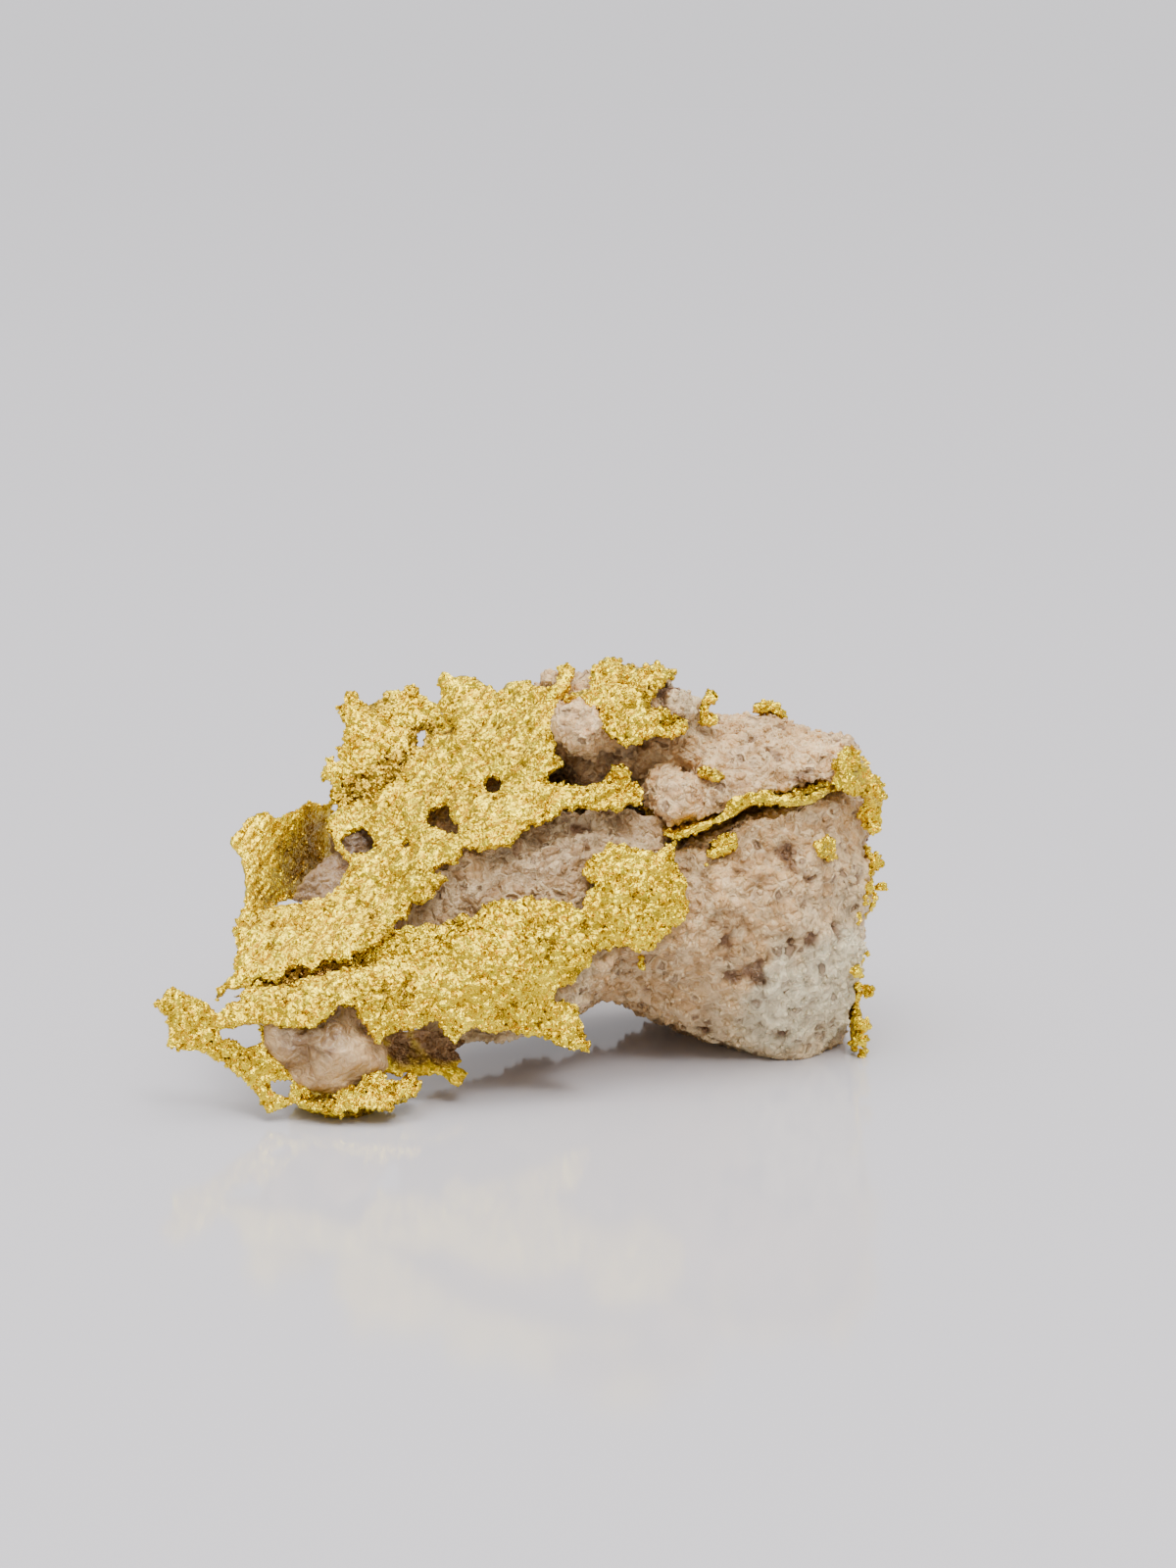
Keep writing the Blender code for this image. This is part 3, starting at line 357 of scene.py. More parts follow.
def shell_piece(name: str, spots: np.ndarray, faces: list[tuple[int, ...]]) -> bpy.types.Object:
    """Makes a flat-shaded piece with its faces turned outwards.

    Args:
        name: the piece's name.
        spots: its points in metres.
        faces: its faces.

    Returns:
        The object, in the scene.
    """
    mesh = bpy.data.meshes.new(name)
    mesh.from_pydata([tuple(s) for s in spots], [], faces)
    shape = bmesh.new()
    shape.from_mesh(mesh)
    if shape.calc_volume(signed=True) < 0:
        bmesh.ops.reverse_faces(shape, faces=shape.faces)
    shape.to_mesh(mesh)
    shape.free()
    for polygon in mesh.polygons:
        polygon.use_smooth = False
    return place(name, mesh)


def even_copy(node: str, name: str, voxel: float, lumps: tuple[Ball, ...] = ()) -> bpy.types.Object:
    """Copies a CAD node's shape as an evenly meshed piece, in mm.

    Args:
        node: the CAD node.
        name: the piece's name.
        voxel: the mesh's spacing in mm.
        lumps: balls that are joined to it, each right, up and deep in the front view, and a radius.

    Returns:
        The object, in the scene.
    """
    shape = bmesh.new()
    shape.from_mesh(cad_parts[node].data)
    bmesh.ops.remove_doubles(shape, verts=shape.verts, dist=JOIN)
    shape.transform(Matrix.Scale(1 / MM, 4))
    for right, up, deep, radius in lumps:
        middle = Matrix.Translation(EYE.to_frame(np.array([[right, up, deep]]))[0] / MM)
        bmesh.ops.create_icosphere(shape, subdivisions=3, radius=radius, matrix=middle)
    mesh = bpy.data.meshes.new(node)
    shape.to_mesh(mesh)
    shape.free()
    obj = place(name, mesh)
    even = obj.modifiers.new("even", "REMESH")
    even.mode, even.voxel_size = "VOXEL", voxel
    obj.data = bpy.data.meshes.new_from_object(obj.evaluated_get(bpy.context.evaluated_depsgraph_get()))
    obj.modifiers.clear()
    return obj


def surface_of(obj: bpy.types.Object) -> tuple[np.ndarray, np.ndarray]:
    """Reads a piece's points and their normals.

    Args:
        obj: the piece.

    Returns:
        Rows of points, and rows of normals.
    """
    vertices = obj.data.vertices
    spots, normals = np.empty(len(vertices) * 3), np.empty(len(vertices) * 3)
    vertices.foreach_get("co", spots)
    vertices.foreach_get("normal", normals)
    return spots.reshape(-1, 3), normals.reshape(-1, 3)


def reshape(obj: bpy.types.Object, spots: np.ndarray) -> None:
    """Moves a piece's points, and shades it smooth.

    Args:
        obj: the piece.
        spots: where its points go, in mm.
    """
    obj.data.vertices.foreach_set("co", (spots * MM).ravel())
    obj.data.update()
    for polygon in obj.data.polygons:
        polygon.use_smooth = True


def mark(obj: bpy.types.Object, name: str, values: np.ndarray | float) -> None:
    """Keeps a number for each point of a piece.

    Args:
        obj: the piece.
        name: what the numbers are kept as.
        values: one for each point, or one for all.
    """
    layer = obj.data.attributes.new(name, "FLOAT", "POINT")
    spread = np.broadcast_to(np.asarray(values, np.float32), len(obj.data.vertices))
    layer.data.foreach_set("value", np.ascontiguousarray(spread))


# Materials

class Nodes:
    """Adds and links the nodes of one tree."""

    def __init__(self, tree: bpy.types.NodeTree) -> None:
        """Starts on a tree."""
        self.tree = tree

    def add(self, kind: str, values: dict[str | int, object] | None = None, **settings: object) -> bpy.types.Node:
        """Adds a node.

        Args:
            kind: the node's type.
            values: for its inputs, by name or number: a number, a colour, or another node's output.
            settings: the node's own properties.

        Returns:
            The node.
        """
        node = self.tree.nodes.new(kind)
        for key, value in settings.items():
            setattr(node, key, value)
        for key, value in (values or {}).items():
            if isinstance(value, bpy.types.NodeSocket):
                self.tree.links.new(value, node.inputs[key])
            else:
                node.inputs[key].default_value = value
        return node

    def noise(self, where: Value, scale: float, detail: float = 3.0, rough: float = 0.55) -> bpy.types.NodeSocket:
        """Adds a noise.

        Args:
            where: the coordinates.
            scale: how many swells there are to a metre.
            detail: how many finer layers it has.
            rough: how strong those are.

        Returns:
            Its value, about 0 to 1.
        """
        values = {"Vector": where, "Scale": scale, "Detail": detail, "Roughness": rough}
        return self.add("ShaderNodeTexNoise", values).outputs["Fac"]

    def spread(self, value: Value, low: float, high: float,
               to_low: float = 0.0, to_high: float = 1.0) -> bpy.types.NodeSocket:
        """Takes a value from one range to another, held at its ends.

        Args:
            value: the value.
            low: the first range's start.
            high: its end.
            to_low: the second range's start.
            to_high: its end.

        Returns:
            The new value.
        """
        values = {"Value": value, "From Min": low, "From Max": high, "To Min": to_low, "To Max": to_high}
        return self.add("ShaderNodeMapRange", values).outputs["Result"]

    def blend(self, share: Value, first: Value, second: Value) -> bpy.types.NodeSocket:
        """Mixes two colours.

        Args:
            share: how much there is of the second.
            first: the first colour.
            second: the second colour.

        Returns:
            The mixed colour.
        """
        node = self.add("ShaderNodeMix", data_type="RGBA")
        for socket, value in ((node.inputs[0], share), (node.inputs[6], first), (node.inputs[7], second)):
            if isinstance(value, bpy.types.NodeSocket):
                self.tree.links.new(value, socket)
            else:
                socket.default_value = value
        return node.outputs[2]

    def maths(self, kind: str, first: Value, second: Value) -> bpy.types.NodeSocket:
        """Adds one step of arithmetic.

        Args:
            kind: the operation's name in Blender.
            first: the first number.
            second: the second.

        Returns:
            The result.
        """
        return self.add("ShaderNodeMath", {0: first, 1: second}, operation=kind).outputs[0]

    def product(self, first: Value, second: Value) -> bpy.types.NodeSocket:
        """Multiplies two numbers."""
        return self.maths("MULTIPLY", first, second)

    def vector(self, kind: str, *vectors: Value) -> bpy.types.Node:
        """Adds one step of vector arithmetic.

        Args:
            kind: the operation's name in Blender.
            vectors: what it works on.

        Returns:
            The node.
        """
        return self.add("ShaderNodeVectorMath", dict(enumerate(vectors)), operation=kind)

    def scaled(self, vector: Value, factor: Value) -> bpy.types.NodeSocket:
        """Multiplies a vector by a number."""
        return self.add("ShaderNodeVectorMath", {0: vector, "Scale": factor}, operation="SCALE").outputs[0]

    def group(self, tree: bpy.types.NodeTree, values: dict[str, object]) -> bpy.types.Node:
        """Adds a shared group, with values for its inputs."""
        return self.add("ShaderNodeGroup", values, node_tree=tree)


Drawing = Callable[[Nodes, bpy.types.bpy_prop_collection, bpy.types.Node], None]


def shader_group(name: str, inputs: dict[str, tuple[str, float | None]], outputs: dict[str, str],
                 make: Drawing) -> bpy.types.NodeTree:
    """Makes a shared shader group, once.

    Args:
        name: the group's name.
        inputs: each input's socket type and value.
        outputs: each output's socket type.
        make: draws the inside, given Nodes, the inputs and the output node.

    Returns:
        The group.
    """
    known = bpy.data.node_groups.get(name)
    if known:
        return known
    tree = bpy.data.node_groups.new(name, "ShaderNodeTree")
    for label, (kind, value) in inputs.items():
        socket = tree.interface.new_socket(label, in_out="INPUT", socket_type=kind)
        if value is not None:
            socket.default_value = value
    for label, kind in outputs.items():
        tree.interface.new_socket(label, in_out="OUTPUT", socket_type=kind)
    nodes = Nodes(tree)
    make(nodes, nodes.add("NodeGroupInput").outputs, nodes.add("NodeGroupOutput"))
    return tree


def patch_group() -> bpy.types.NodeTree:
    """Makes a soft ragged patch round a centre.

    Returns:
        The group, whose Mask is 1 in the patch.
    """

    def make(nodes: Nodes, given: bpy.types.bpy_prop_collection, out: bpy.types.Node) -> None:
        """Draws the group.

        Args:
            nodes: the group's nodes.
            given: its inputs.
            out: its output node.
        """
        away = nodes.vector("DISTANCE", given["Vector"], given["Centre"])
        wave = nodes.spread(nodes.noise(given["Vector"], 900.0), 0.3, 0.7, -0.5, 0.5)
        share = nodes.maths("DIVIDE", away.outputs["Value"], given["Radius"])
        mask = nodes.spread(nodes.maths("ADD", share, wave), 1.25, 0.75)
        nodes.tree.links.new(mask, out.inputs["Mask"])

    return shader_group(
        "ragged_patch",
        {"Vector": ("NodeSocketVector", None), "Centre": ("NodeSocketVector", None),
         "Radius": ("NodeSocketFloat", 0.002)},
        {"Mask": "NodeSocketFloat"}, make,
    )


def grit_group() -> bpy.types.NodeTree:
    """Makes close-set grains of one size.

    Returns:
        The group. Height is for a bump, Mottle for broad colour, Grain a number for each grain, Rim 1 between
        grains, Pit 1 in the grains that are missing, and Strand 1 on thin winding lines.
    """
    warp, fineness, breadth = 0.8, 2.7, 0.3

    def make(nodes: Nodes, given: bpy.types.bpy_prop_collection, out: bpy.types.Node) -> None:
        """Draws the group.

        Args:
            nodes: the group's nodes.
            given: its inputs.
            out: its output node.
        """
        where, scale = given["Vector"], given["Scale"]
        wave = nodes.add("ShaderNodeTexNoise", {"Vector": where, "Scale": scale, "Detail": 3.0})
        shift = nodes.scaled(wave.outputs["Color"], nodes.maths("DIVIDE", warp, scale))
        bent = nodes.vector("ADD", where, shift).outputs[0]
        cells = nodes.add("ShaderNodeTexVoronoi", {"Vector": bent, "Scale": scale})
        edges = nodes.add("ShaderNodeTexVoronoi", {"Vector": bent, "Scale": scale}, feature="DISTANCE_TO_EDGE")
        grain = nodes.add("ShaderNodeSeparateColor", {"Color": cells.outputs["Color"]}).outputs[0]
        inner = nodes.spread(edges.outputs["Distance"], 0.0, 0.3)
        pit = nodes.product(nodes.spread(grain, 0.8, 0.93), nodes.spread(inner, 0.1, 0.9))
        fine = nodes.add("ShaderNodeTexNoise", {
            "Vector": where, "Scale": nodes.product(scale, fineness), "Detail": 4.0,
        }).outputs["Fac"]
        rise = nodes.product(inner, nodes.spread(pit, 0.0, 1.0, 0.6, -0.9))
        broad = nodes.add("ShaderNodeTexNoise", {
            "Vector": where, "Scale": nodes.product(scale, breadth), "Detail": 5.0,
        }).outputs["Fac"]
        wound = nodes.add("ShaderNodeTexNoise", {
            "Vector": where, "Scale": nodes.product(scale, breadth), "Detail": 1.0, "Distortion": 2.2,
        }).outputs["Fac"]
        line = nodes.maths("ABSOLUTE", nodes.maths("SUBTRACT", wound, 0.5), 0.0)
        strand = nodes.spread(line, 0.02, 0.07, 1.0, 0.0)
        height = nodes.maths("ADD", nodes.maths("ADD", rise, nodes.product(fine, 0.6)), nodes.product(strand, 0.15))
        rim = nodes.product(nodes.spread(inner, 0.0, 0.6, 1.0, 0.0), nodes.spread(fine, 0.35, 0.65))
        for label, value in (("Height", height), ("Mottle", broad), ("Grain", grain), ("Pit", pit),
                             ("Rim", rim), ("Strand", strand)):
            nodes.tree.links.new(value, out.inputs[label])

    outputs = {label: "NodeSocketFloat" for label in ("Height", "Mottle", "Grain", "Rim", "Pit", "Strand")}
    return shader_group(
        "grit", {"Vector": ("NodeSocketVector", None), "Scale": ("NodeSocketFloat", 9000.0)}, outputs, make,
    )


def facet_group() -> bpy.types.NodeTree:
    """Makes small flat crystal faces, each turned its own way.

    Returns:
        The group, whose Normal is theirs.
    """

    def make(nodes: Nodes, given: bpy.types.bpy_prop_collection, out: bpy.types.Node) -> None:
        """Draws the group.

        Args:
            nodes: the group's nodes.
            given: its inputs.
            out: its output node.
        """
        cells = nodes.add("ShaderNodeTexVoronoi", {"Vector": given["Vector"], "Scale": given["Scale"]})
        centred = nodes.vector("SUBTRACT", cells.outputs["Color"], (0.5, 0.5, 0.5)).outputs[0]
        lean = nodes.scaled(centred, given["Tilt"])
        plain = nodes.add("ShaderNodeNewGeometry").outputs["Normal"]
        unit = nodes.vector("NORMALIZE", nodes.vector("ADD", plain, lean).outputs[0]).outputs[0]
        nodes.tree.links.new(unit, out.inputs["Normal"])

    return shader_group(
        "facets", {"Vector": ("NodeSocketVector", None), "Scale": ("NodeSocketFloat", 9000.0),
                   "Tilt": ("NodeSocketFloat", 0.6)},
        {"Normal": "NodeSocketVector"}, make,
    )


@dataclass(frozen=True)
class Patch:
    """A coloured patch: its centre in the front view, its radius in mm, its colour, how much it covers and how
    much darker it gets."""

    centre: tuple[float, float, float]
    radius: float
    colour: Colour
    strength: float = 0.85
    shade: float = 0.6

    def lay(self, nodes: Nodes, where: Value, mottle: Value, under: Value) -> bpy.types.NodeSocket:
        """Lays the patch over a colour, darker where the mottle is low.

        Args:
            nodes: the material's nodes.
            where: the coordinates.
            mottle: 0 to 1.
            under: the colour below.

        Returns:
            The new colour.
        """
        centre = tuple(EYE.to_frame(np.array([self.centre]))[0])
        mask = nodes.group(patch_group(), {"Vector": where, "Centre": centre, "Radius": self.radius * MM})
        share = nodes.product(mask.outputs["Mask"], self.strength)
        shade = tuple(c * self.shade for c in self.colour[:3]) + (1.0,)
        return nodes.blend(share, under, nodes.blend(mottle, self.colour, shade))


@dataclass(frozen=True)
class GoldFinish:
    """Native gold: pale on its ridges, with painted shade in the hollows between them: deeper gold there, and dark
    brown in cloudy patches of them.
    """

    name: str
    light: Colour = (0.97, 0.755, 0.028, 1.0)
    deep: Colour = (0.72, 0.475, 0.006, 1.0)
    # The next two give painted shade: the dark brown laid over cloudy patches of the hollows, and how much of the
    # hollows it covers.
    hollow_shade_colour: Colour = (0.24, 0.13, 0.015, 1.0)
    hollow_shade_share: float = 0.25
    patches: tuple[Patch, ...] = ()
    roughness: tuple[float, float] = (0.06, 0.24)
    grain: float = 8000.0
    bump: float = 0.6
    tilt: float = 0.85
    facets: float = 1.4
    depth: float = 0.00003
    slot: str = "native_gold"

    def material(self) -> bpy.types.Material:
        """Builds the material, or finds it if it is there.

        Returns:
            The material.
        """
        known = bpy.data.materials.get(self.name)
        if known:
            return known
        material = bpy.data.materials.new(self.name)
        material.use_nodes = True
        nodes = Nodes(material.node_tree)
        shader = material.node_tree.nodes["Principled BSDF"]
        where = nodes.add("ShaderNodeTexCoord").outputs["Object"]
        hollow = nodes.add("ShaderNodeAttribute", attribute_name="hollow").outputs["Fac"]
        grit = nodes.group(grit_group(), {"Vector": where, "Scale": self.grain})
        mottle = nodes.spread(grit.outputs["Mottle"], 0.35, 0.65)
        colour = nodes.blend(mottle, self.light, self.deep)
        colour = nodes.blend(nodes.spread(grit.outputs["Grain"], 0.5, 1.0, 0.0, 0.4), colour, self.deep)
        # Painted shade: the hollows between the crystals go towards the deep colour.
        colour = nodes.blend(nodes.spread(hollow, 0.5, 1.0, 0.0, 0.6), colour, self.deep)
        for patch in self.patches:
            colour = patch.lay(nodes, where, mottle, colour)
        # Painted shade: dark brown over cloudy patches of the hollows.
        cloud = nodes.spread(nodes.noise(where, 700.0, 4.0, 0.6), 0.66 - self.hollow_shade_share, 0.86 - self.hollow_shade_share)
        shaded_hollows = nodes.product(cloud, nodes.spread(hollow, 0.35, 0.95))
        colour = nodes.blend(shaded_hollows, colour, self.hollow_shade_colour)
        rough = nodes.spread(grit.outputs["Mottle"], 0.3, 0.7, *self.roughness)
        facets = nodes.group(facet_group(), {"Vector": where, "Scale": self.grain * self.facets, "Tilt": self.tilt})
        bump = nodes.add("ShaderNodeBump", {"Strength": self.bump, "Distance": self.depth,
                                            "Height": grit.outputs["Height"], "Normal": facets.outputs["Normal"]})
        for label, value in (("Base Color", colour), ("Roughness", rough), ("Normal", bump.outputs[0])):
            nodes.tree.links.new(value, shader.inputs[label])
        shader.inputs["Metallic"].default_value = 1.0
        return material


@dataclass(frozen=True)
class QuartzFinish:
    """Granular quartz: milky grains, with painted shade in the pits and hollows between them, and patches of other
    colours, some of them painted shade.
    """

    name: str
    pale: Colour = (0.77, 0.465, 0.19, 1.0)
    dull: Colour = (0.44, 0.245, 0.088, 1.0)
    milk: Colour = (0.93, 0.71, 0.40, 1.0)
    # Painted shade: the dark brown that the pits and the hollows are darkened to.
    hollow_shade_colour: Colour = (0.17, 0.075, 0.028, 1.0)
    patches: tuple[Patch, ...] = ()
    whorls: tuple[Patch, ...] = ()
    roughness: tuple[float, float] = (0.2, 0.55)
    grain: float = 3400.0
    bump: float = 1.0
    pitted: float = 0.7
    milky: float = 1.0
    depth: float = 0.00012
    glow: float = 0.15
    glow_reach: float = 0.00015
    slot: str = "granular_quartz"

    def material(self) -> bpy.types.Material:
        """Builds the material, or finds it if it is there.

        Returns:
            The material.
        """
        known = bpy.data.materials.get(self.name)
        if known:
            return known
        material = bpy.data.materials.new(self.name)
        material.use_nodes = True
        nodes = Nodes(material.node_tree)
        shader = material.node_tree.nodes["Principled BSDF"]
        where = nodes.add("ShaderNodeTexCoord").outputs["Object"]
        hollow = nodes.add("ShaderNodeAttribute", attribute_name="hollow").outputs["Fac"]
        grit = nodes.group(grit_group(), {"Vector": where, "Scale": self.grain})
        mottle = nodes.spread(grit.outputs["Mottle"], 0.36, 0.64)
        colour = nodes.blend(mottle, self.pale, self.dull)
        for patch in self.patches:
            colour = patch.lay(nodes, where, mottle, colour)
        colour = nodes.blend(nodes.spread(grit.outputs["Grain"], 0.35, 0.7, 0.0, 0.4 * self.milky), colour, self.milk)
        colour = nodes.blend(nodes.product(grit.outputs["Rim"], 0.45 * self.milky), colour, self.milk)
        for whorl in self.whorls:
            colour = whorl.lay(nodes, where, nodes.maths("SUBTRACT", 1.0, grit.outputs["Strand"]), colour)
        # Painted shade: the sunk pits and the hollows of the stone's surface go dark brown.
        colour = nodes.blend(nodes.product(grit.outputs["Pit"], self.pitted), colour, self.hollow_shade_colour)
        colour = nodes.blend(nodes.spread(hollow, 0.35, 1.0, 0.0, 0.9), colour, self.hollow_shade_colour)
        rough = nodes.spread(grit.outputs["Mottle"], 0.3, 0.7, *self.roughness)
        bump = nodes.add("ShaderNodeBump", {"Strength": self.bump, "Distance": self.depth,
                                            "Height": grit.outputs["Height"]})
        for label, value in (("Base Color", colour), ("Roughness", rough), ("Normal", bump.outputs[0])):
            nodes.tree.links.new(value, shader.inputs[label])
        shader.inputs["Subsurface Weight"].default_value = self.glow
        shader.inputs["Subsurface Scale"].default_value = self.glow_reach
        shader.inputs["Subsurface Radius"].default_value = (1.0, 0.6, 0.45)
        return material


# Crystals that repeat

def crust_tree() -> bpy.types.NodeTree:
    """Makes the tree that strews crystals of 20 faces over a surface, denser where its rim mark is high.

    Returns:
        A tree with the inputs Density, Rim Density, Smallest, Largest, Seed and Material.
    """
    name = "crystal_crust"
    known = bpy.data.node_groups.get(name)
    if known:
        return known
    tree = bpy.data.node_groups.new(name, "GeometryNodeTree")
    tree.is_modifier = True
    tree.interface.new_socket("Geometry", in_out="OUTPUT", socket_type="NodeSocketGeometry")
    tree.interface.new_socket("Geometry", in_out="INPUT", socket_type="NodeSocketGeometry")
    for label, kind in (
        ("Density", "NodeSocketFloat"), ("Rim Density", "NodeSocketFloat"), ("Smallest", "NodeSocketFloat"),
        ("Largest", "NodeSocketFloat"), ("Seed", "NodeSocketInt"), ("Material", "NodeSocketMaterial"),
    ):
        tree.interface.new_socket(label, in_out="INPUT", socket_type=kind)
    nodes = Nodes(tree)
    given = nodes.add("NodeGroupInput").outputs
    rim = nodes.add("GeometryNodeInputNamedAttribute", {"Name": "rim"}, data_type="FLOAT").outputs["Attribute"]
    density = nodes.maths("ADD", given["Density"], nodes.product(rim, given["Rim Density"]))
    strewn = nodes.add("GeometryNodeDistributePointsOnFaces",
                       {"Mesh": given["Geometry"], "Density": density, "Seed": given["Seed"]})
    crystal = nodes.add("GeometryNodeMeshIcoSphere", {"Radius": 1.0, "Subdivisions": 1})
    turn = nodes.add("FunctionNodeRandomValue", {"Min": (0.0, 0.0, 0.0), "Max": (6.3, 6.3, 6.3),
                                                 "Seed": given["Seed"]}, data_type="FLOAT_VECTOR")
    size = nodes.add("FunctionNodeRandomValue", {2: given["Smallest"], 3: given["Largest"],
                                                 "Seed": given["Seed"]}, data_type="FLOAT")
    shape = nodes.add("FunctionNodeRandomValue", {"Min": (0.55, 0.55, 0.5), "Max": (1.3, 1.1, 0.9)},
                      data_type="FLOAT_VECTOR")
    scale = nodes.scaled(shape.outputs["Value"], size.outputs[1])
    faceted = nodes.add("GeometryNodeSetShadeSmooth", {"Geometry": crystal.outputs["Mesh"], "Shade Smooth": False})
    placed = nodes.add("GeometryNodeInstanceOnPoints", {
        "Points": strewn.outputs["Points"], "Instance": faceted.outputs["Geometry"],
        "Rotation": turn.outputs["Value"], "Scale": scale,
    })
    real = nodes.add("GeometryNodeRealizeInstances", {"Geometry": placed.outputs["Instances"]})
    look = nodes.add("GeometryNodeSetMaterial", {"Geometry": real.outputs["Geometry"], "Material": given["Material"]})
    nodes.add("NodeGroupOutput", {"Geometry": look.outputs["Geometry"]})
    return tree


@dataclass(frozen=True)
class Crust:
    """Small crystals strewn over a piece: how many to a square mm, there and at its rim, and their radii in mm."""

    density: float
    rim_density: float
    smallest: float
    largest: float

    def grow(self, host: bpy.types.Object, seed: int, look: bpy.types.Material) -> bpy.types.Object:
        """Adds the crystals to the host's own mesh.

        Args:
            host: the piece that they stand on.
            seed: which places they take.
            look: their material.

        Returns:
            The host.
        """
        tree = crust_tree()
        carrier = place("carrier", host.data)
        modifier = carrier.modifiers.new("crust", "NODES")
        modifier.node_group = tree
        sockets = {item.name: item.identifier for item in tree.interface.items_tree if item.in_out == "INPUT"}
        for label, value in (
            ("Density", self.density * 1e6), ("Rim Density", self.rim_density * 1e6),
            ("Smallest", self.smallest * MM), ("Largest", self.largest * MM), ("Seed", seed), ("Material", look),
        ):
            modifier[sockets[label]] = value
        graph = bpy.context.evaluated_depsgraph_get()
        crystals = bpy.data.meshes.new_from_object(carrier.evaluated_get(graph))
        carrier.modifiers.remove(modifier)
        bpy.data.objects.remove(carrier)
        shape = bmesh.new()
        shape.from_mesh(host.data)
        shape.from_mesh(crystals)
        for vert in shape.verts:
            vert.co.z = max(vert.co.z, 0.0)
        shape.to_mesh(host.data)
        shape.free()
        bpy.data.meshes.remove(crystals)
        return host


def dress(obj: bpy.types.Object, finish: GoldFinish | QuartzFinish, *nodes: str) -> None:
    """Gives a finished piece its material, hides the CAD nodes that it stands for, and sets it on the body that it
    rides on.

    Args:
        obj: the piece.
        finish: its finish.
        nodes: the CAD nodes that it stands for, if any.
    """
    obj.data.materials.clear()
    obj.data.materials.append(finish.material())
    if nodes:
        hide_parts(*nodes)
    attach(obj, "root")
    LOG.info("%s: %d faces", obj.name, len(obj.data.polygons))


FINE, MEDIUM, COARSE = 0.14, 0.24, 0.5


@dataclass
class Leaf:
    """A thin crystalline leaf of gold. Sizes are in mm."""

    name: str
    outline: Loop
    anchors: Anchors | None
    finish: GoldFinish
    view: View = View.FRONT
    in_steps: bool = True
    holes: list[Loop] = field(default_factory=list)
    grain: Grain = Grain.KNOBBY
    thickness: float = 0.1
    cell: float = 0.055
    teeth: float = 0.085
    crumple: float = 0.05
    relief: float = 0.12
    lie: float = 40.0
    lift: float = 0.0
    rim_width: float = 0.16
    ridge: float = 0.17
    ridge_length: float = 3.6
    crust: Crust = Crust(13.0, 42.0, 0.03, 0.095)
    seed: int = 1

    def surface(self) -> Bend:
        """Finds the bend that the leaf lies in.

        Returns:
            A function that gives the third coordinate at arrays of the first two.
        """
        if self.anchors is None:
            return lambda right, deep: crack_height(right, deep) + self.lift
        return through(self.anchors)

    def grown(self, flat: np.ndarray, side: float) -> np.ndarray:
        """Says how far the crystals stand out of the leaf.

        Args:
            flat: the points, p and q.
            side: a number that differs between the two faces.

        Returns:
            0 to about 1 for each point.
        """
        spots = np.column_stack([flat, np.full(len(flat), self.seed * 3.7 + side)])
        fine = knobs(spots, FINE)
        if self.grain is Grain.KNOBBY:
            return 0.3 * fine + 0.6 * knobs(spots, MEDIUM) + 0.2 * knobs(spots + 4.0, COARSE)
        turn = math.radians(self.lie)
        along = flat[:, 0] * math.cos(turn) + flat[:, 1] * math.sin(turn)
        across = flat[:, 1] * math.cos(turn) - flat[:, 0] * math.sin(turn)
        bent = across + 0.12 * clouds(spots, 0.9, 1)
        laid = np.column_stack([along / self.ridge_length, bent, spots[:, 2]])
        crests = 1 - np.abs(clouds(laid, self.ridge, 1)) * 2.2
        return 0.45 * crests + 0.5 * knobs(laid, 0.18) + 0.1 * fine

    def slopes(self, flat: np.ndarray) -> tuple[np.ndarray, np.ndarray]:
        """Finds the leaf's middle height and the way that it faces.

        Args:
            flat: the points, p and q.

        Returns:
            The height for each point, and a unit normal for each.
        """
        bend, step = self.surface(), 0.05
        p, q = flat[:, 0], flat[:, 1]
        rise_p = (bend(p + step, q) - bend(p - step, q)) / (2 * step)
        rise_q = (bend(p, q + step) - bend(p, q - step)) / (2 * step)
        normal = np.column_stack([-rise_p, -rise_q, np.ones(len(flat))])
        return bend(p, q), normal / np.linalg.norm(normal, axis=1, keepdims=True)

    def build(self) -> bpy.types.Object:
        """Builds the leaf's mesh and dresses it.

        Returns:
            The finished piece.
        """
        read = steps if self.in_steps else np.array
        loops = [ragged(read(self.outline), self.cell, self.teeth, self.seed)]
        loops += [ragged(read(hole), self.cell, self.teeth * 0.35, self.seed) for hole in self.holes]
        flat, faces = fill(loops, self.cell, self.seed)
        rim = np.clip(1 - distances(np.concatenate(loops), flat) / self.rim_width, 0, 1)
        height, normal = self.slopes(flat)
        where = np.column_stack([flat, np.full(len(flat), float(self.seed))])
        wave = self.crumple * (clouds(where, 1.3, 2) + 0.5 * clouds(where + 5.0, COARSE, 1))
        middle = np.column_stack([flat, height + wave])
        half = self.thickness / 2 * (1 - 0.6 * rim)
        sides, heights = [], []
        for sign, side in ((1.0, 0.0), (-1.0, 50.0)):
            height = self.grown(flat, side)
            sides.append(middle + normal * (sign * (half + self.relief * height * (1 - 0.4 * rim)))[:, None])
            heights.append(height)
        count = len(flat)
        near = {(a, b) for face in faces for a, b in zip(face, face[1:] + face[:1])}
        shell = list(faces) + [tuple(count + k for k in reversed(face)) for face in faces]
        shell += [(b, a, count + a, count + b) for a, b in near if (b, a) not in near]
        spots = np.empty((2 * count, 3))
        spots[:, self.view.value] = np.concatenate(sides)
        obj = shell_piece(self.name + "_crystalline", EYE.to_frame(spots), shell)
        mark(obj, "rim", np.tile(rim, 2))
        # hollow: how low each point lies between the crystals; the finish paints shade there.
        mark(obj, "hollow", 1 - np.clip(np.concatenate(heights), 0, 1))
        self.crust.grow(obj, self.seed, self.finish.material())
        dress(obj, self.finish, *((self.name,) if self.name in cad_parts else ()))
        return obj


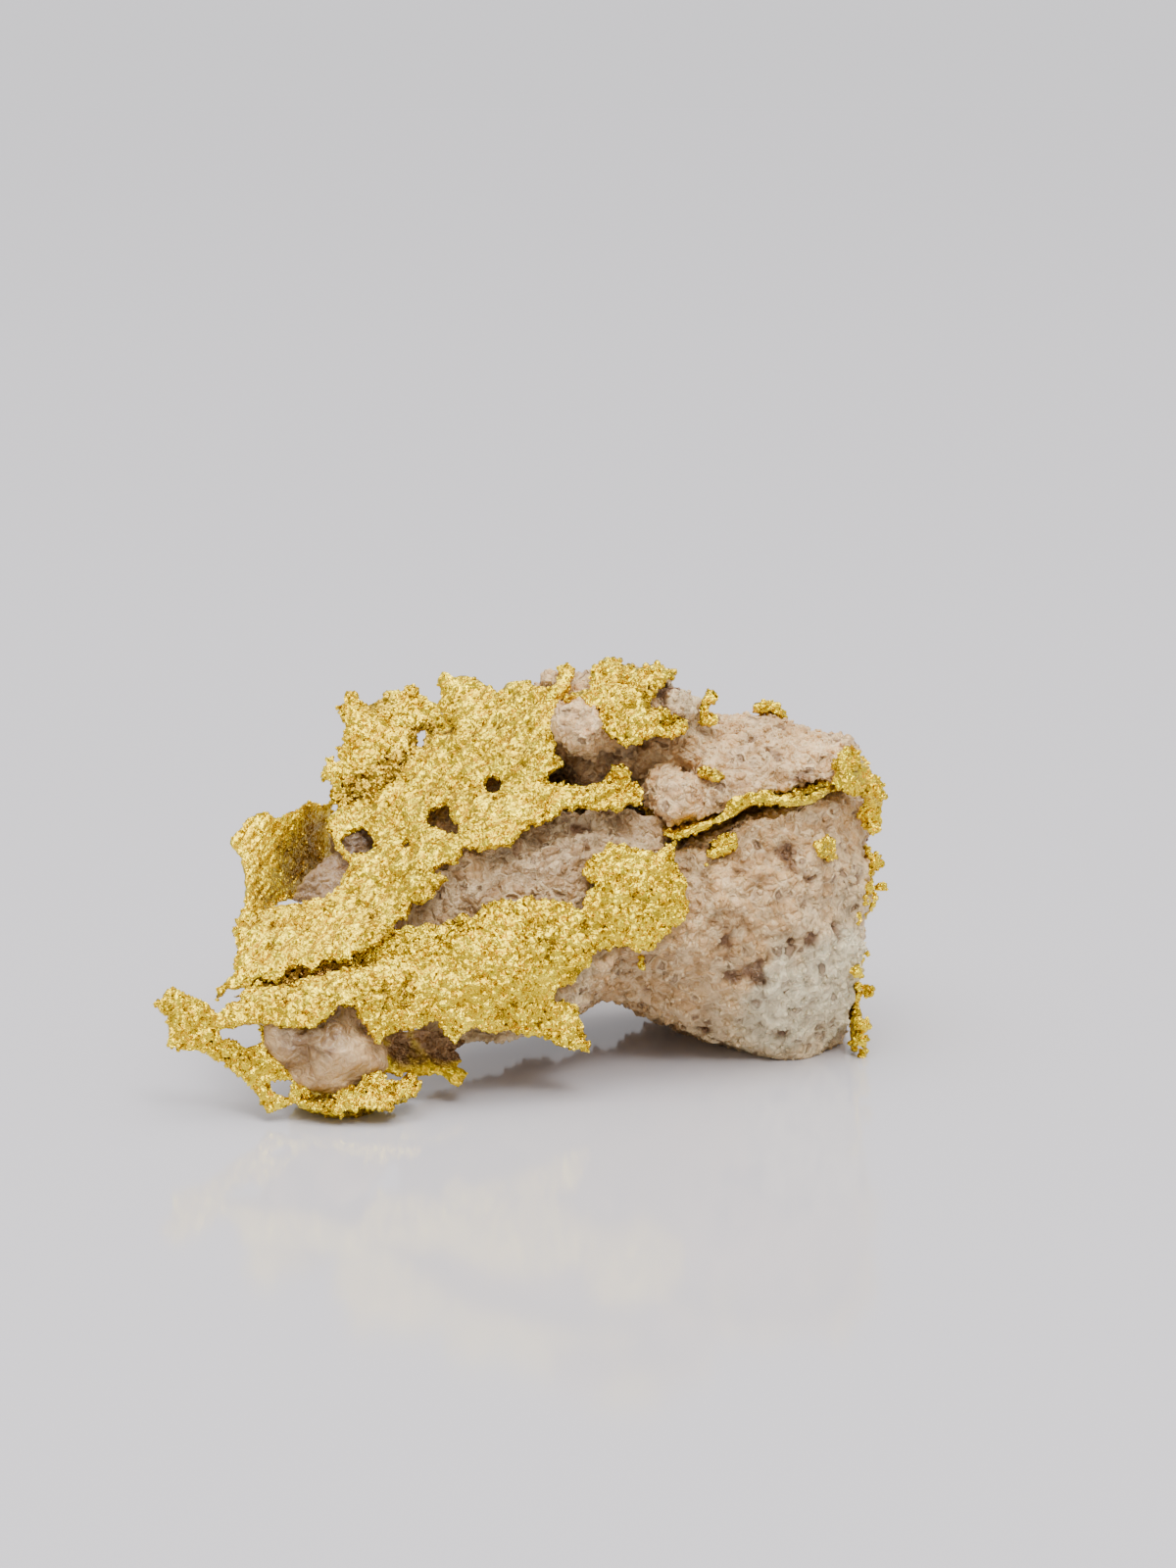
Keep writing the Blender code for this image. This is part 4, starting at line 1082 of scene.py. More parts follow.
@dataclass
class Stone:
    """A piece of quartz: its CAD node's shape, grown over with grains. Sizes are in mm.

    Grains and sugar are each a height and a width. A swell is right, up, radius and height, and a lump is right,
    up, deep and radius, all in the front view.
    """

    node: str
    finish: QuartzFinish
    voxel: float = 0.1
    grains: tuple[float, float] = (0.12, 0.42)
    sugar: tuple[float, float] = (0.07, 0.2)
    pits: float = 0.12
    seam: float = 0.05
    warp: tuple[float, float] = (0.12, 0.6)
    foot: float = 0.25
    swells: tuple[Ball, ...] = ()
    lumps: tuple[Ball, ...] = ()
    crust: Crust | None = Crust(11.0, 0.0, 0.05, 0.12)
    seed: int = 1

    def swell(self, spots: np.ndarray) -> np.ndarray:
        """Brings lumps of the stone forward.

        Args:
            spots: points in mm, in the specimen's frame.

        Returns:
            The points, moved towards the eye near each swell's right, up, by its height over its radius.
        """
        away = spots - np.array(EYE.place)
        depth = away[:, 1] * math.cos(EYE.pitch) - away[:, 2] * math.sin(EYE.pitch)
        rise = away[:, 1] * math.sin(EYE.pitch) + away[:, 2] * math.cos(EYE.pitch)
        right, up = away[:, 0] / depth * EYE.distance, rise / depth * EYE.distance
        pull = np.zeros(len(spots))
        for p, q, radius, height in self.swells:
            share = np.clip(1 - ((right - p) ** 2 + (up - q) ** 2) / radius**2, 0, 1)
            front = np.clip((3.0 - (depth - EYE.distance)) / 2.0, 0, 1)
            pull = np.maximum(pull, height * np.minimum(1.8 * share, 1) ** 0.7 * front)
        return spots - away / np.linalg.norm(away, axis=1, keepdims=True) * pull[:, None]

    def build(self) -> bpy.types.Object:
        """Builds the stone's mesh and dresses it.

        Returns:
            The finished piece.
        """
        obj = even_copy(self.node, self.node + "_stone", self.voxel, self.lumps)
        spots, normals = surface_of(obj)
        spots = self.swell(spots)
        shift = spots + self.seed * 11.0
        bent = shift + self.warp[0] * np.column_stack([clouds(shift + k * 7.0, self.warp[1], 1) for k in range(3)])
        grain, sugar = knobs(bent, self.grains[1]), knobs(bent, self.sugar[1])
        seam = 1 - seams(bent, self.grains[1] * 1.4)
        pit = np.clip((clouds(shift, 1.0, 3) - 0.42) / 0.25, 0, 1)
        height = self.grains[0] * (grain - 0.7) + self.sugar[0] * (sugar - 0.5) - self.pits * pit - self.seam * seam
        height = height * np.clip(spots[:, 2] / self.foot, 0, 1)
        spots = spots + normals * height[:, None]
        spots[:, 2] = np.maximum(spots[:, 2], 0.0)
        reshape(obj, spots)
        # hollow: pits, low ground between grains and seams; the finish paints shade there.
        mark(obj, "hollow", np.clip(0.75 * pit + 0.35 * (1 - grain) + 0.25 * seam, 0, 1))
        mark(obj, "rim", 0.0)
        if self.crust:
            self.crust.grow(obj, self.seed, self.finish.material())
        dress(obj, self.finish, self.node)
        return obj


# The specimen's own pieces

# Painted shade: these three colours darken the gold of leaves, or parts of them, that lie in shadow.
SHADE_BROWN = (0.26, 0.13, 0.025, 1.0)
SHADE_OLIVE = (0.50, 0.31, 0.03, 1.0)
SHADE_UMBER = (0.34, 0.20, 0.11, 1.0)
PALE_GOLD = GoldFinish("pale_leaf_gold", hollow_shade_share=0.2)
DENSE_GOLD = GoldFinish("crusted_leaf_gold", light=(1.0, 0.785, 0.03, 1.0), hollow_shade_share=0.2, tilt=1.0)
# Painted shade: olive patches where the back leaf lies in shade.
SHADED_BACK_GOLD = GoldFinish("back_leaf_gold_painted_shade", hollow_shade_share=0.2, tilt=0.8, patches=(
    Patch((-5.8, -0.2, 2.0), 0.5, SHADE_OLIVE), Patch((-4.9, 0.5, 2.3), 0.5, SHADE_OLIVE), Patch((-4.15, 1.2, 2.7), 0.5, SHADE_OLIVE),
    Patch((-5.3, 2.0, 3.0), 0.35, SHADE_OLIVE, 0.7),
))
# Painted shade: olive, then dark brown, over the fin's right part, which turns away into shadow.
SHADED_FIN_GOLD = GoldFinish("fin_leaf_gold_painted_shade", hollow_shade_share=0.15, tilt=0.5, patches=(
    Patch((-7.15, -1.9, 1.4), 0.95, SHADE_OLIVE, 0.85), Patch((-6.8, -1.9, 2.0), 0.9, SHADE_BROWN, 0.62),
))
# Painted shade: brown patches over the middle leaf, which lies in the shaded slot between the upper and lower leaves.
SHADED_SLOT_GOLD = GoldFinish("slot_leaf_gold_painted_shade", hollow_shade_share=0.3, patches=(
    Patch((-6.6, -4.7, -2.4), 0.7, SHADE_BROWN, 0.8),
    Patch((-7.4, -4.9, -2.5), 1.2, SHADE_BROWN, 0.9), Patch((-5.9, -4.5, -2.3), 0.5, SHADE_BROWN, 0.7),
    Patch((-9.0, -5.3, -2.5), 0.7, SHADE_BROWN, 0.7),
))
# Painted shade: umber over the fold's upper part, which lies in the shadow of the lower leaf.
SHADED_FOLD_GOLD = GoldFinish("fold_leaf_gold_painted_shade", hollow_shade_share=0.2, roughness=(0.3, 0.5), tilt=0.3, patches=(
    Patch((-4.75, -6.5, -2.1), 0.75, SHADE_UMBER, 0.97), Patch((-3.9, -6.5, -1.8), 0.75, SHADE_UMBER, 0.97),
))

PINK = (1.0, 0.62, 0.28, 1.0)
GREY = (0.90, 0.69, 0.38, 1.0)
WHITE = (1.0, 0.86, 0.54, 1.0)
# Painted shade: the dark brown laid on the quartz that lies recessed under the upper leaf.
QUARTZ_SHADE = (0.46, 0.27, 0.115, 1.0)

BLOCK_QUARTZ = QuartzFinish("block_quartz", patches=(
    Patch((6.3, -4.9, 0.6), 2.2, GREY, 0.8), Patch((4.6, -6.2, 1.0), 1.8, GREY, 0.7),
    # Painted shade: the two dark patches on the recessed band under the upper leaf.
    Patch((-0.4, -2.0, -1.0), 2.6, QUARTZ_SHADE, 0.85), Patch((-3.4, -3.4, -1.5), 1.6, QUARTZ_SHADE, 0.75),
    Patch((-2.0, -6.3, -1.6), 2.0, GREY, 0.6),
), whorls=(Patch((6.0, -5.3, 0.4), 1.6, WHITE, 0.85, 0.75), Patch((4.9, -6.0, 0.2), 1.2, WHITE, 0.7, 0.75)))
SLAB_QUARTZ = QuartzFinish("slab_quartz", patches=(
    Patch((2.0, -0.3, -0.5), 1.0, PINK, 0.85, 0.75), Patch((-0.2, 1.4, -0.5), 1.0, PINK, 0.95, 0.8),
    # Painted shade: the dark brown patch at 0.3, 0.3, 2.2 darkens the deep hollow there.
    Patch((6.2, 0.3, 0.5), 1.3, PINK, 0.8, 0.75), Patch((0.3, 0.3, 2.2), 1.4, (0.16, 0.09, 0.05, 1.0), 0.9),
    Patch((2.6, 2.2, 0.6), 0.9, GREY, 0.8), Patch((-0.95, 2.75, 1.4), 0.5, PINK),
))
PEBBLE_QUARTZ = QuartzFinish("pebble_quartz", pale=(0.72, 0.46, 0.21, 1.0), dull=(0.46, 0.26, 0.10, 1.0),
                             milk=(0.84, 0.62, 0.34, 1.0), grain=3600.0, bump=0.6, pitted=0.1, milky=0.6, patches=(
    Patch((-7.1, -5.9, -3.8), 1.2, (0.25, 0.135, 0.05, 1.0), 0.92),
))
# Painted shade: a darker copy of the quartz colours for the grain lying in shadow between the fin and the upper leaf,
# with a still darker patch where it shows through the upper leaf's hole.
SHADED_GRAIN_QUARTZ = QuartzFinish("grain_quartz_painted_shade", pale=(0.32, 0.19, 0.08, 1.0), dull=(0.17, 0.095, 0.04, 1.0),
                            milk=(0.46, 0.31, 0.16, 1.0), grain=3600.0, bump=0.6, pitted=0.2, milky=0.5, patches=(
    Patch((-5.85, -1.5, 0.9), 0.75, (0.17, 0.10, 0.055, 1.0), 0.9),
))


@dataclass
class FrontGold:
    """The leaves that face the viewer."""

    seed: int = 3

    def upper(self) -> Leaf:
        """The long ridged sheet from the far left tip up to the peaks at the top."""
        return Leaf(
            "gold_upper_leaf",
            [(658, 812), (655, 818), (645, 820), (635, 824), (627, 827), (618, 825), (605, 824), (590, 823),
             (585, 826), (584, 832), (582, 826), (575, 826), (568, 830), (560, 836), (550, 840), (540, 843),
             (532, 849), (525, 853), (520, 850), (523, 857), (521, 863), (513, 864), (503, 865), (495, 867),
             (488, 866), (480, 864), (473, 865), (469, 870), (465, 874), (466, 880), (460, 882), (452, 882),
             (446, 886), (441, 890), (446, 893), (449, 891), (454, 897), (447, 902), (442, 908), (440, 916),
             (435, 919), (428, 921), (420, 921), (418, 928), (413, 936), (405, 939), (399, 944), (397, 950),
             (394, 956), (388, 961), (380, 966), (376, 969), (371, 968), (366, 973), (360, 973), (357, 982),
             (350, 981), (338, 980), (332, 982), (325, 988), (318, 991), (310, 987), (300, 986), (294, 989),
             (292, 996), (287, 999), (278, 1001), (268, 1000), (262, 999), (253, 1006), (247, 1008),
             (240, 1010), (232, 1010), (226, 1014), (220, 1019), (221, 1012), (228, 1006), (234, 1000),
             (239, 994), (240, 977), (243, 972), (240, 965), (237, 950), (244, 940), (250, 932), (268, 930),
             (283, 927), (300, 925), (330, 919), (346, 904), (360, 886), (350, 875), (342, 866), (336, 850),
             (334, 838), (346, 826), (362, 822), (378, 815), (390, 808), (403, 798), (415, 785), (421, 777),
             (435, 765), (446, 752), (458, 740), (456, 735), (447, 720), (449, 712), (450, 704), (448, 697),
             (450, 690), (457, 688), (462, 690), (480, 690), (487, 694), (497, 702), (508, 706), (523, 699),
             (532, 696), (540, 696), (550, 702), (560, 704), (569, 696), (572, 681), (580, 676), (585, 684), (582, 700),
             (568, 714), (564, 744),
             (566, 770), (574, 780), (560, 790), (561, 802), (592, 803), (612, 802), (618, 790), (624, 782),
             (634, 781), (641, 786), (645, 798), (650, 797), (656, 805)],
            [(-9.3, -5.2, -2.7), (-7.5, -4.7, -2.7), (-5.4, -4.0, -2.5), (-4.0, -2.8, -2.2),
             (-3.0, -1.8, -2.0), (-1.5, -1.1, -1.7), (0.0, -0.6, -1.4), (1.3, -0.4, -1.1),
             (-8.8, -3.4, -1.2), (-7.0, -3.3, -1.2), (-6.3, -1.5, 0.5), (-5.6, -0.3, 1.4),
             (-4.3, 0.7, 1.6), (-3.6, 2.4, 2.4), (-2.2, 2.3, 1.9), (-0.8, 2.9, 1.5),
             (-0.9, 1.0, -0.3), (-2.6, 0.4, 0.1)],
            PALE_GOLD, grain=Grain.RIDGED, seed=self.seed, relief=0.14, crust=Crust(7.0, 42.0, 0.03, 0.085),
            holes=[
                [(504, 792), (511, 794), (513, 802), (510, 809), (503, 811), (496, 807), (494, 799), (498, 793)],
                [(438, 846), (434, 838), (438, 829), (446, 824), (454, 820), (460, 826), (459, 834),
                 (463, 838), (471, 844), (468, 853), (457, 852), (449, 846)],
                [(411, 860), (416, 856), (420, 862), (416, 868), (410, 865)],
                [(345, 861), (350, 853), (359, 847), (369, 844), (376, 849), (384, 862), (377, 871),
                 (360, 873), (351, 869)],
            ],
        )

    def lower(self) -> Leaf:
        """The bumpy sheet along the lower left, with its round patch on the block and its spur."""
        return Leaf(
            "gold_lower_leaf",
            [(226, 1032), (232, 1030), (238, 1025), (245, 1018), (252, 1012), (258, 1005), (262, 1001),
             (270, 1010), (280, 1008), (295, 1005), (325, 998), (340, 993), (350, 989), (375, 989), (384, 985),
             (388, 977), (395, 975), (410, 978), (422, 976), (435, 973), (455, 962), (460, 955), (463, 947),
             (470, 946), (478, 938), (486, 931), (493, 924), (500, 921), (530, 919), (545, 918), (567, 922),
             (577, 921), (593, 929), (596, 925), (594, 917), (606, 906), (606, 900), (598, 893), (596, 887),
             (606, 875), (618, 865), (622, 860), (630, 866), (637, 862), (650, 868), (668, 872), (683, 862),
             (690, 858), (686, 872), (690, 880), (697, 897), (700, 915), (702, 935), (688, 945), (678, 957),
             (665, 968), (650, 972), (638, 966), (622, 966), (608, 972), (600, 988), (585, 999), (570, 1008),
             (560, 1018), (565, 1022), (585, 1026), (593, 1045), (597, 1060), (601, 1065), (601, 1075),
             (585, 1070), (568, 1066), (550, 1058), (535, 1056), (520, 1050), (500, 1056), (480, 1048),
             (475, 1052), (465, 1064), (458, 1062), (452, 1050), (443, 1040), (430, 1050), (412, 1050),
             (392, 1056), (387, 1064), (380, 1058), (370, 1046), (362, 1029), (345, 1026), (332, 1040),
             (318, 1050), (292, 1050), (272, 1045), (255, 1043), (237, 1047), (226, 1046)],
            [(-9.3, -5.9, -3.6), (-8.6, -5.1, -3.1), (-7.0, -4.9, -3.0), (-5.0, -4.5, -2.8),
             (-3.5, -3.8, -2.5), (-2.0, -3.0, -2.1), (-0.5, -3.1, -1.9), (0.4, -1.8, -1.5),
             (2.2, -1.6, -1.2), (2.4, -3.0, -1.4), (1.3, -4.4, -1.5), (0.5, -3.3, -1.75),
             (-0.4, -4.9, -2.1), (-0.3, -6.4, -2.2), (-1.6, -6.3, -2.5), (-3.2, -6.3, -3.0),
             (-5.2, -6.3, -3.5), (-6.4, -5.5, -3.8), (-8.0, -6.0, -3.8), (-3.0, -4.9, -3.0),
             (-1.4, -4.6, -2.6)],
            DENSE_GOLD, seed=self.seed + 1,
        )

    def middle(self) -> Leaf:
        """The small leaf in the slot between the upper and lower leaves."""
        return Leaf(
            "gold_middle_leaf",
            [(236, 1018), (252, 1004), (275, 994), (296, 982), (330, 974), (360, 964), (380, 957), (396, 950),
             (412, 946), (430, 946), (446, 943), (463, 938), (472, 934), (478, 942), (463, 957), (450, 964),
             (430, 984), (405, 986), (380, 994), (350, 1000), (320, 1008), (290, 1016), (262, 1020)],
            [(-9.0, -5.3, -2.7), (-7.5, -4.9, -2.5), (-6.0, -4.5, -2.35), (-5.2, -4.2, -2.2),
             (-4.5, -3.75, -2.1), (-3.4, -3.5, -1.9), (-4.4, -4.3, -2.2)],
            SHADED_SLOT_GOLD, seed=self.seed + 2, relief=0.05, crust=Crust(2.0, 30.0, 0.03, 0.08),
        )

    def crust(self) -> Leaf:
        """The gold that covers the face of the cap."""
        return Leaf(
            "gold_top_crust",
            [(576, 712), (590, 706), (604, 706), (602, 692), (604, 684), (610, 676), (617, 671), (625, 673),
             (638, 681), (645, 680), (652, 684), (660, 683), (670, 681), (690, 684), (684, 692), (674, 702),
             (664, 710), (662, 720), (668, 724), (684, 728), (703, 735), (702, 742), (698, 748), (690, 752),
             (672, 752), (652, 755), (638, 761), (625, 750), (618, 742), (608, 722), (594, 714)],
            [(0.6, 1.4, -0.8), (2.2, 1.4, -0.2), (1.0, 2.2, -0.3), (0.3, 2.9, 0.6),
             (2.1, 2.8, 0.7), (-0.4, 2.25, -0.2), (1.5, 1.3, -0.6)],
            DENSE_GOLD, relief=0.14, seed=self.seed + 3, teeth=0.1, crust=Crust(14.0, 34.0, 0.035, 0.11),
        )

    def tip(self) -> Leaf:
        """The small sprig at the right of the cap."""
        return Leaf(
            "gold_tip_spray",
            [(713, 738), (716, 722), (719, 712), (723, 705), (729, 705), (732, 711), (728, 717), (723, 721),
             (723, 726), (729, 729), (731, 734), (727, 739), (719, 740)],
            [(2.8, 1.6, 0.5), (3.3, 1.7, 0.8), (3.2, 2.4, 0.9)],
            DENSE_GOLD, seed=self.seed + 4, teeth=0.05, crust=Crust(30.0, 40.0, 0.04, 0.11),
        )

    def cluster(self) -> Leaf:
        """The knobbly gold where the crack comes out at the right."""
        return Leaf(
            "gold_right_cluster",
            [(845, 801), (852, 790), (848, 780), (860, 768), (865, 764), (872, 764), (877, 768), (877, 782),
             (884, 785), (890, 790), (895, 796), (900, 801), (904, 813), (900, 819), (901, 840), (895, 853),
             (888, 850), (882, 840), (879, 830), (879, 824), (886, 818), (878, 810), (864, 805)],
            [(6.2, 0.3, -0.1), (6.8, 0.9, 0.7), (6.7, 0.0, 0.2), (7.4, 0.0, 1.2),
             (7.4, -1.1, 1.5), (7.0, -0.8, 1.3)],
            DENSE_GOLD, seed=self.seed + 5, relief=0.1, crust=Crust(16.0, 36.0, 0.04, 0.12),
        )

    def build(self) -> None:
        """Builds them all."""
        for leaf in (self.upper(), self.lower(), self.middle(), self.crust(), self.tip(), self.cluster()):
            leaf.build()


@dataclass
class LeftEnd:
    """The leaves that stand free at the left, where the stone is gone."""

    seed: int = 20

    def spray(self) -> Leaf:
        """The holed, ragged tail at the far left."""
        return Leaf(
            "gold_left_spray",
            [(262, 1024), (250, 1022), (235, 1026), (220, 1034), (214, 1030), (205, 1021), (187, 1016),
             (174, 1008), (168, 1012), (166, 1018), (158, 1020), (155, 1025), (163, 1033), (170, 1038),
             (171, 1045), (169, 1060), (172, 1068), (180, 1071), (207, 1075), (227, 1086), (243, 1100),
             (258, 1113), (265, 1128), (275, 1138), (288, 1132), (296, 1128), (304, 1125), (318, 1122),
             (316, 1113), (304, 1107), (293, 1097), (282, 1084), (273, 1066), (270, 1048), (268, 1036)],
            [(-11.0, -5.6, -4.0), (-10.5, -6.6, -4.0), (-9.5, -6.1, -3.6), (-9.0, -7.3, -3.5),
             (-8.1, -8.3, -3.7), (-8.0, -7.2, -3.6), (-8.5, -5.7, -3.15), (-7.2, -7.9, -3.5)],
            DENSE_GOLD, seed=self.seed, teeth=0.07, crust=Crust(9.0, 34.0, 0.035, 0.09),
            holes=[
                [(221, 1053), (240, 1044), (263, 1043), (266, 1066), (250, 1071), (238, 1062), (224, 1062)],
                [(275, 1104), (295, 1103), (298, 1108), (293, 1121), (277, 1117)],
            ],
        )

    def bottom(self) -> Leaf:
        """The curled leaf under the pebble."""
        return Leaf(
            "gold_bottom_leaf",
            [(-7.65, -2.6), (-7.6, -3.3), (-7.1, -3.75), (-6.4, -3.98), (-5.9, -3.78), (-5.5, -3.92),
             (-5.0, -3.62), (-4.5, -3.3), (-4.3, -2.9), (-4.6, -2.5), (-4.9, -2.7), (-5.3, -2.0),
             (-5.9, -1.4), (-6.8, -1.3), (-7.4, -1.8)],
            [(-6.5, -3.3, -8.41), (-5.8, -3.3, -8.36), (-6.4, -3.98, -8.12), (-5.5, -3.92, -7.62),
             (-4.6, -3.1, -7.95), (-4.3, -2.9, -7.72), (-7.6, -3.2, -8.05), (-7.5, -2.2, -7.9),
             (-6.5, -2.3, -8.1), (-6.5, -1.4, -7.6), (-5.4, -2.0, -7.75)],
            DENSE_GOLD, view=View.PLAN, in_steps=False, seed=self.seed + 1, crumple=0.05,
            crust=Crust(9.0, 30.0, 0.035, 0.09),
        )

    def curl(self) -> Leaf:
        """The bottom leaf's turned-up front edge."""
        return Leaf(
            "gold_bottom_curl",
            [(303, 1127), (318, 1128), (332, 1126), (345, 1117), (362, 1110), (378, 1099), (388, 1096), (392, 1103),
             (404, 1107), (412, 1102), (424, 1100), (430, 1106), (424, 1115), (416, 1119), (404, 1124),
             (396, 1131), (384, 1132), (370, 1134), (352, 1138), (338, 1139), (322, 1136), (310, 1132)],
            [(-7.2, -8.25, -3.9), (-6.4, -8.35, -4.0), (-5.5, -8.1, -3.95), (-4.5, -7.6, -3.4),
             (-6.4, -7.8, -3.7), (-5.3, -7.4, -3.45)],
            DENSE_GOLD, seed=self.seed + 6, teeth=0.1, crust=Crust(14.0, 40.0, 0.035, 0.11),
        )

    def fold(self) -> Leaf:
        """The small folded leaf behind it."""
        return Leaf(
            "gold_bottom_fold",
            [(376, 1044), (400, 1050), (428, 1052), (455, 1056), (474, 1064), (462, 1073), (470, 1080),
             (466, 1088), (474, 1097), (470, 1105), (461, 1104), (448, 1098), (428, 1096), (403, 1097),
             (384, 1095), (388, 1082), (381, 1066)],
            [(-5.2, -6.2, -2.0), (-4.2, -6.3, -1.8), (-3.3, -6.7, -1.6), (-5.0, -7.35, -2.6),
             (-4.0, -7.4, -2.6), (-3.3, -7.5, -2.3), (-4.2, -6.9, -1.7)],
            SHADED_FOLD_GOLD, seed=self.seed + 2, relief=0.05, crust=Crust(2.0, 40.0, 0.03, 0.09),
        )

    def fin(self) -> Leaf:
        """The concave leaf behind the left end."""
        return Leaf(
            "gold_left_fin",
            [(249, 837), (254, 833), (261, 829), (268, 827), (273, 830), (277, 835), (283, 836), (289, 835),
             (295, 830), (302, 827), (312, 822), (322, 820), (338, 821), (338, 848), (340, 862), (334, 880),
             (318, 900), (302, 915), (290, 918), (276, 922), (272, 936), (262, 946), (240, 948), (240, 938),
             (249, 925), (251, 900), (246, 872), (236, 860), (240, 848), (250, 842)],
            [(-9.0, -1.4, 0.3), (-8.4, -0.7, 0.8), (-8.6, -3.1, -0.8), (-7.2, -0.6, 1.7),
             (-6.7, -1.2, 2.6), (-7.0, -2.2, 2.0), (-7.7, -2.9, 0.6), (-8.0, -1.8, 0.8)],
            SHADED_FIN_GOLD, grain=Grain.RIDGED, lie=55.0, seed=self.seed + 3, relief=0.05,
            crust=Crust(3.0, 26.0, 0.03, 0.08),
        )

    def build(self) -> None:
        """Builds them all."""
        for leaf in (self.spray(), self.bottom(), self.curl(), self.fold(), self.fin()):
            leaf.build()


@dataclass
class BackGold:
    """The leaves at the back, in the crack and on the right end."""

    seed: int = 40

    def back(self) -> Leaf:
        """The ragged leaf behind the upper leaf."""
        return Leaf(
            "gold_back_leaf",
            [(338, 820), (336, 808), (337, 800), (334, 795), (328, 793), (327, 787), (331, 781), (329, 775),
             (331, 770), (336, 773), (341, 779), (347, 779), (345, 770), (343, 765), (347, 762), (351, 756),
             (352, 748), (354, 742), (353, 737), (349, 731), (346, 725), (342, 721), (349, 719), (351, 712),
             (353, 706), (359, 705), (363, 709), (364, 717), (371, 717), (376, 719), (383, 717), (388, 714),
             (391, 708), (397, 706), (404, 707), (412, 706), (416, 700), (421, 697), (426, 700), (427, 707),
             (433, 712), (439, 716), (447, 720), (456, 732), (462, 750), (448, 766), (425, 790), (400, 812),
             (372, 824), (352, 826)],
            [(-6.7, 0.3, 2.1), (-6.2, 2.2, 3.1), (-4.4, 2.4, 3.3), (-3.5, 1.2, 2.7),
             (-4.4, 0.2, 2.2), (-6.2, -0.5, 1.9), (-5.3, 1.0, 2.5)],
            SHADED_BACK_GOLD, seed=self.seed, teeth=0.08, crust=Crust(14.0, 42.0, 0.035, 0.1),
            holes=[[(424, 745), (430, 741), (434, 745), (433, 755), (431, 763), (425, 761), (423, 753)]],
        )

    def crack(self) -> Leaf:
        """The leaf that fills the crack and shows along its front edge."""
        return Leaf(
            "gold_crack_leaf",
            [(2.0, -1.05), (2.4, -1.25), (3.0, -1.2), (3.4, -0.8), (3.8, -0.2), (4.2, -0.3), (4.6, -0.7),
             (5.0, -0.7), (5.4, -0.3), (5.9, 0.5), (6.5, 1.2),
             (7.0, 2.3), (7.2, 3.4), (7.1, 4.6), (6.4, 5.6), (5.2, 6.4), (3.8, 6.7), (2.2, 6.4),
             (1.2, 5.0), (1.6, 3.2), (1.4, 1.4), (1.7, 0.2)],
            None, DENSE_GOLD, view=View.PLAN, in_steps=False, seed=self.seed + 1, cell=0.08, lift=0.12,
            thickness=0.14, crumple=0.03, relief=0.07, crust=Crust(0.5, 30.0, 0.04, 0.1),
        )

    def lip(self) -> Leaf:
        """The crack leaf's wavy front edge, which closes the crack's mouth."""
        return Leaf(
            "gold_crack_lip",
            [(684, 854), (697, 849), (712, 842), (728, 836), (738, 829), (743, 818), (750, 812), (760, 811),
             (772, 809), (780, 806), (787, 808), (796, 814), (808, 815), (820, 813), (832, 808), (845, 803),
             (856, 800), (868, 800), (874, 804), (860, 806), (847, 809), (837, 815), (827, 821), (812, 823),
             (798, 822), (788, 818), (778, 819), (768, 822), (757, 827), (748, 833), (740, 838), (728, 842),
             (714, 847), (700, 854), (689, 857)],
            [(2.0, -1.3, -1.25), (3.0, -1.0, -1.35), (3.8, -0.6, -1.05), (4.6, -0.35, -1.25), (5.4, -0.45, -1.0),
             (6.0, -0.25, -0.1), (6.8, -0.1, 0.8), (2.2, -0.5, -1.2), (4.6, -1.2, -1.25)],
            PALE_GOLD, seed=self.seed + 5, thickness=0.18, teeth=0.035, relief=0.05,
            crust=Crust(3.0, 12.0, 0.02, 0.055),
        )

    def right(self) -> Leaf:
        """The leaf on the right end, whose ragged edge the front shows as a fringe."""
        return Leaf(
            "gold_right_leaf",
            [(2.5, -1.6), (1.75, -1.75), (1.5, -2.2), (1.9, -2.5), (1.45, -2.75), (1.6, -3.2), (3.0, -3.35),
             (3.2, -4.0), (2.2, -4.3), (2.0, -4.8), (2.3, -5.05), (1.7, -5.25), (1.75, -5.5),
             (2.3, -5.6), (1.6, -5.8), (1.5, -6.3), (1.7, -6.85), (2.1, -6.8), (2.4, -6.2), (3.4, -5.8),
             (4.2, -5.1), (4.6, -4.2), (4.4, -3.0), (4.0, -2.2), (3.2, -1.7)],
            [(1.7, -2.0, 7.22), (1.6, -3.0, 7.28), (1.7, -5.0, 6.95), (1.6, -6.5, 6.9),
             (4.0, -3.0, 6.92), (4.0, -5.0, 6.65), (3.2, -2.0, 7.0), (3.1, -3.8, 6.92)],
            DENSE_GOLD, view=View.SIDE, in_steps=False, seed=self.seed + 2, teeth=0.12, relief=0.1,
            crust=Crust(9.0, 40.0, 0.04, 0.12),
        )

    def rear(self) -> Leaf:
        """The larger leaf on the back."""
        return Leaf(
            "gold_rear_leaf",
            [(6.2, -1.7), (5.0, -1.3), (3.6, -1.7), (2.2, -1.4), (0.6, -1.9), (-0.9, -2.1),
             (-2.3, -3.1), (-1.7, -4.1), (-0.2, -3.9), (1.1, -4.7), (2.5, -4.5), (3.4, -5.2),
             (4.7, -4.8), (5.4, -4.1), (6.3, -3.5), (6.0, -2.6)],
            [(6.0, -2.5, 5.6), (4.0, -1.6, 6.2), (4.0, -4.6, 6.1), (1.0, -2.2, 6.1),
             (1.0, -4.4, 5.9), (-2.0, -3.2, 4.8), (2.5, -3.2, 6.5)],
            DENSE_GOLD, in_steps=False, seed=self.seed + 3, cell=0.07, teeth=0.13, crumple=0.05,
            crust=Crust(6.0, 26.0, 0.035, 0.09),
        )

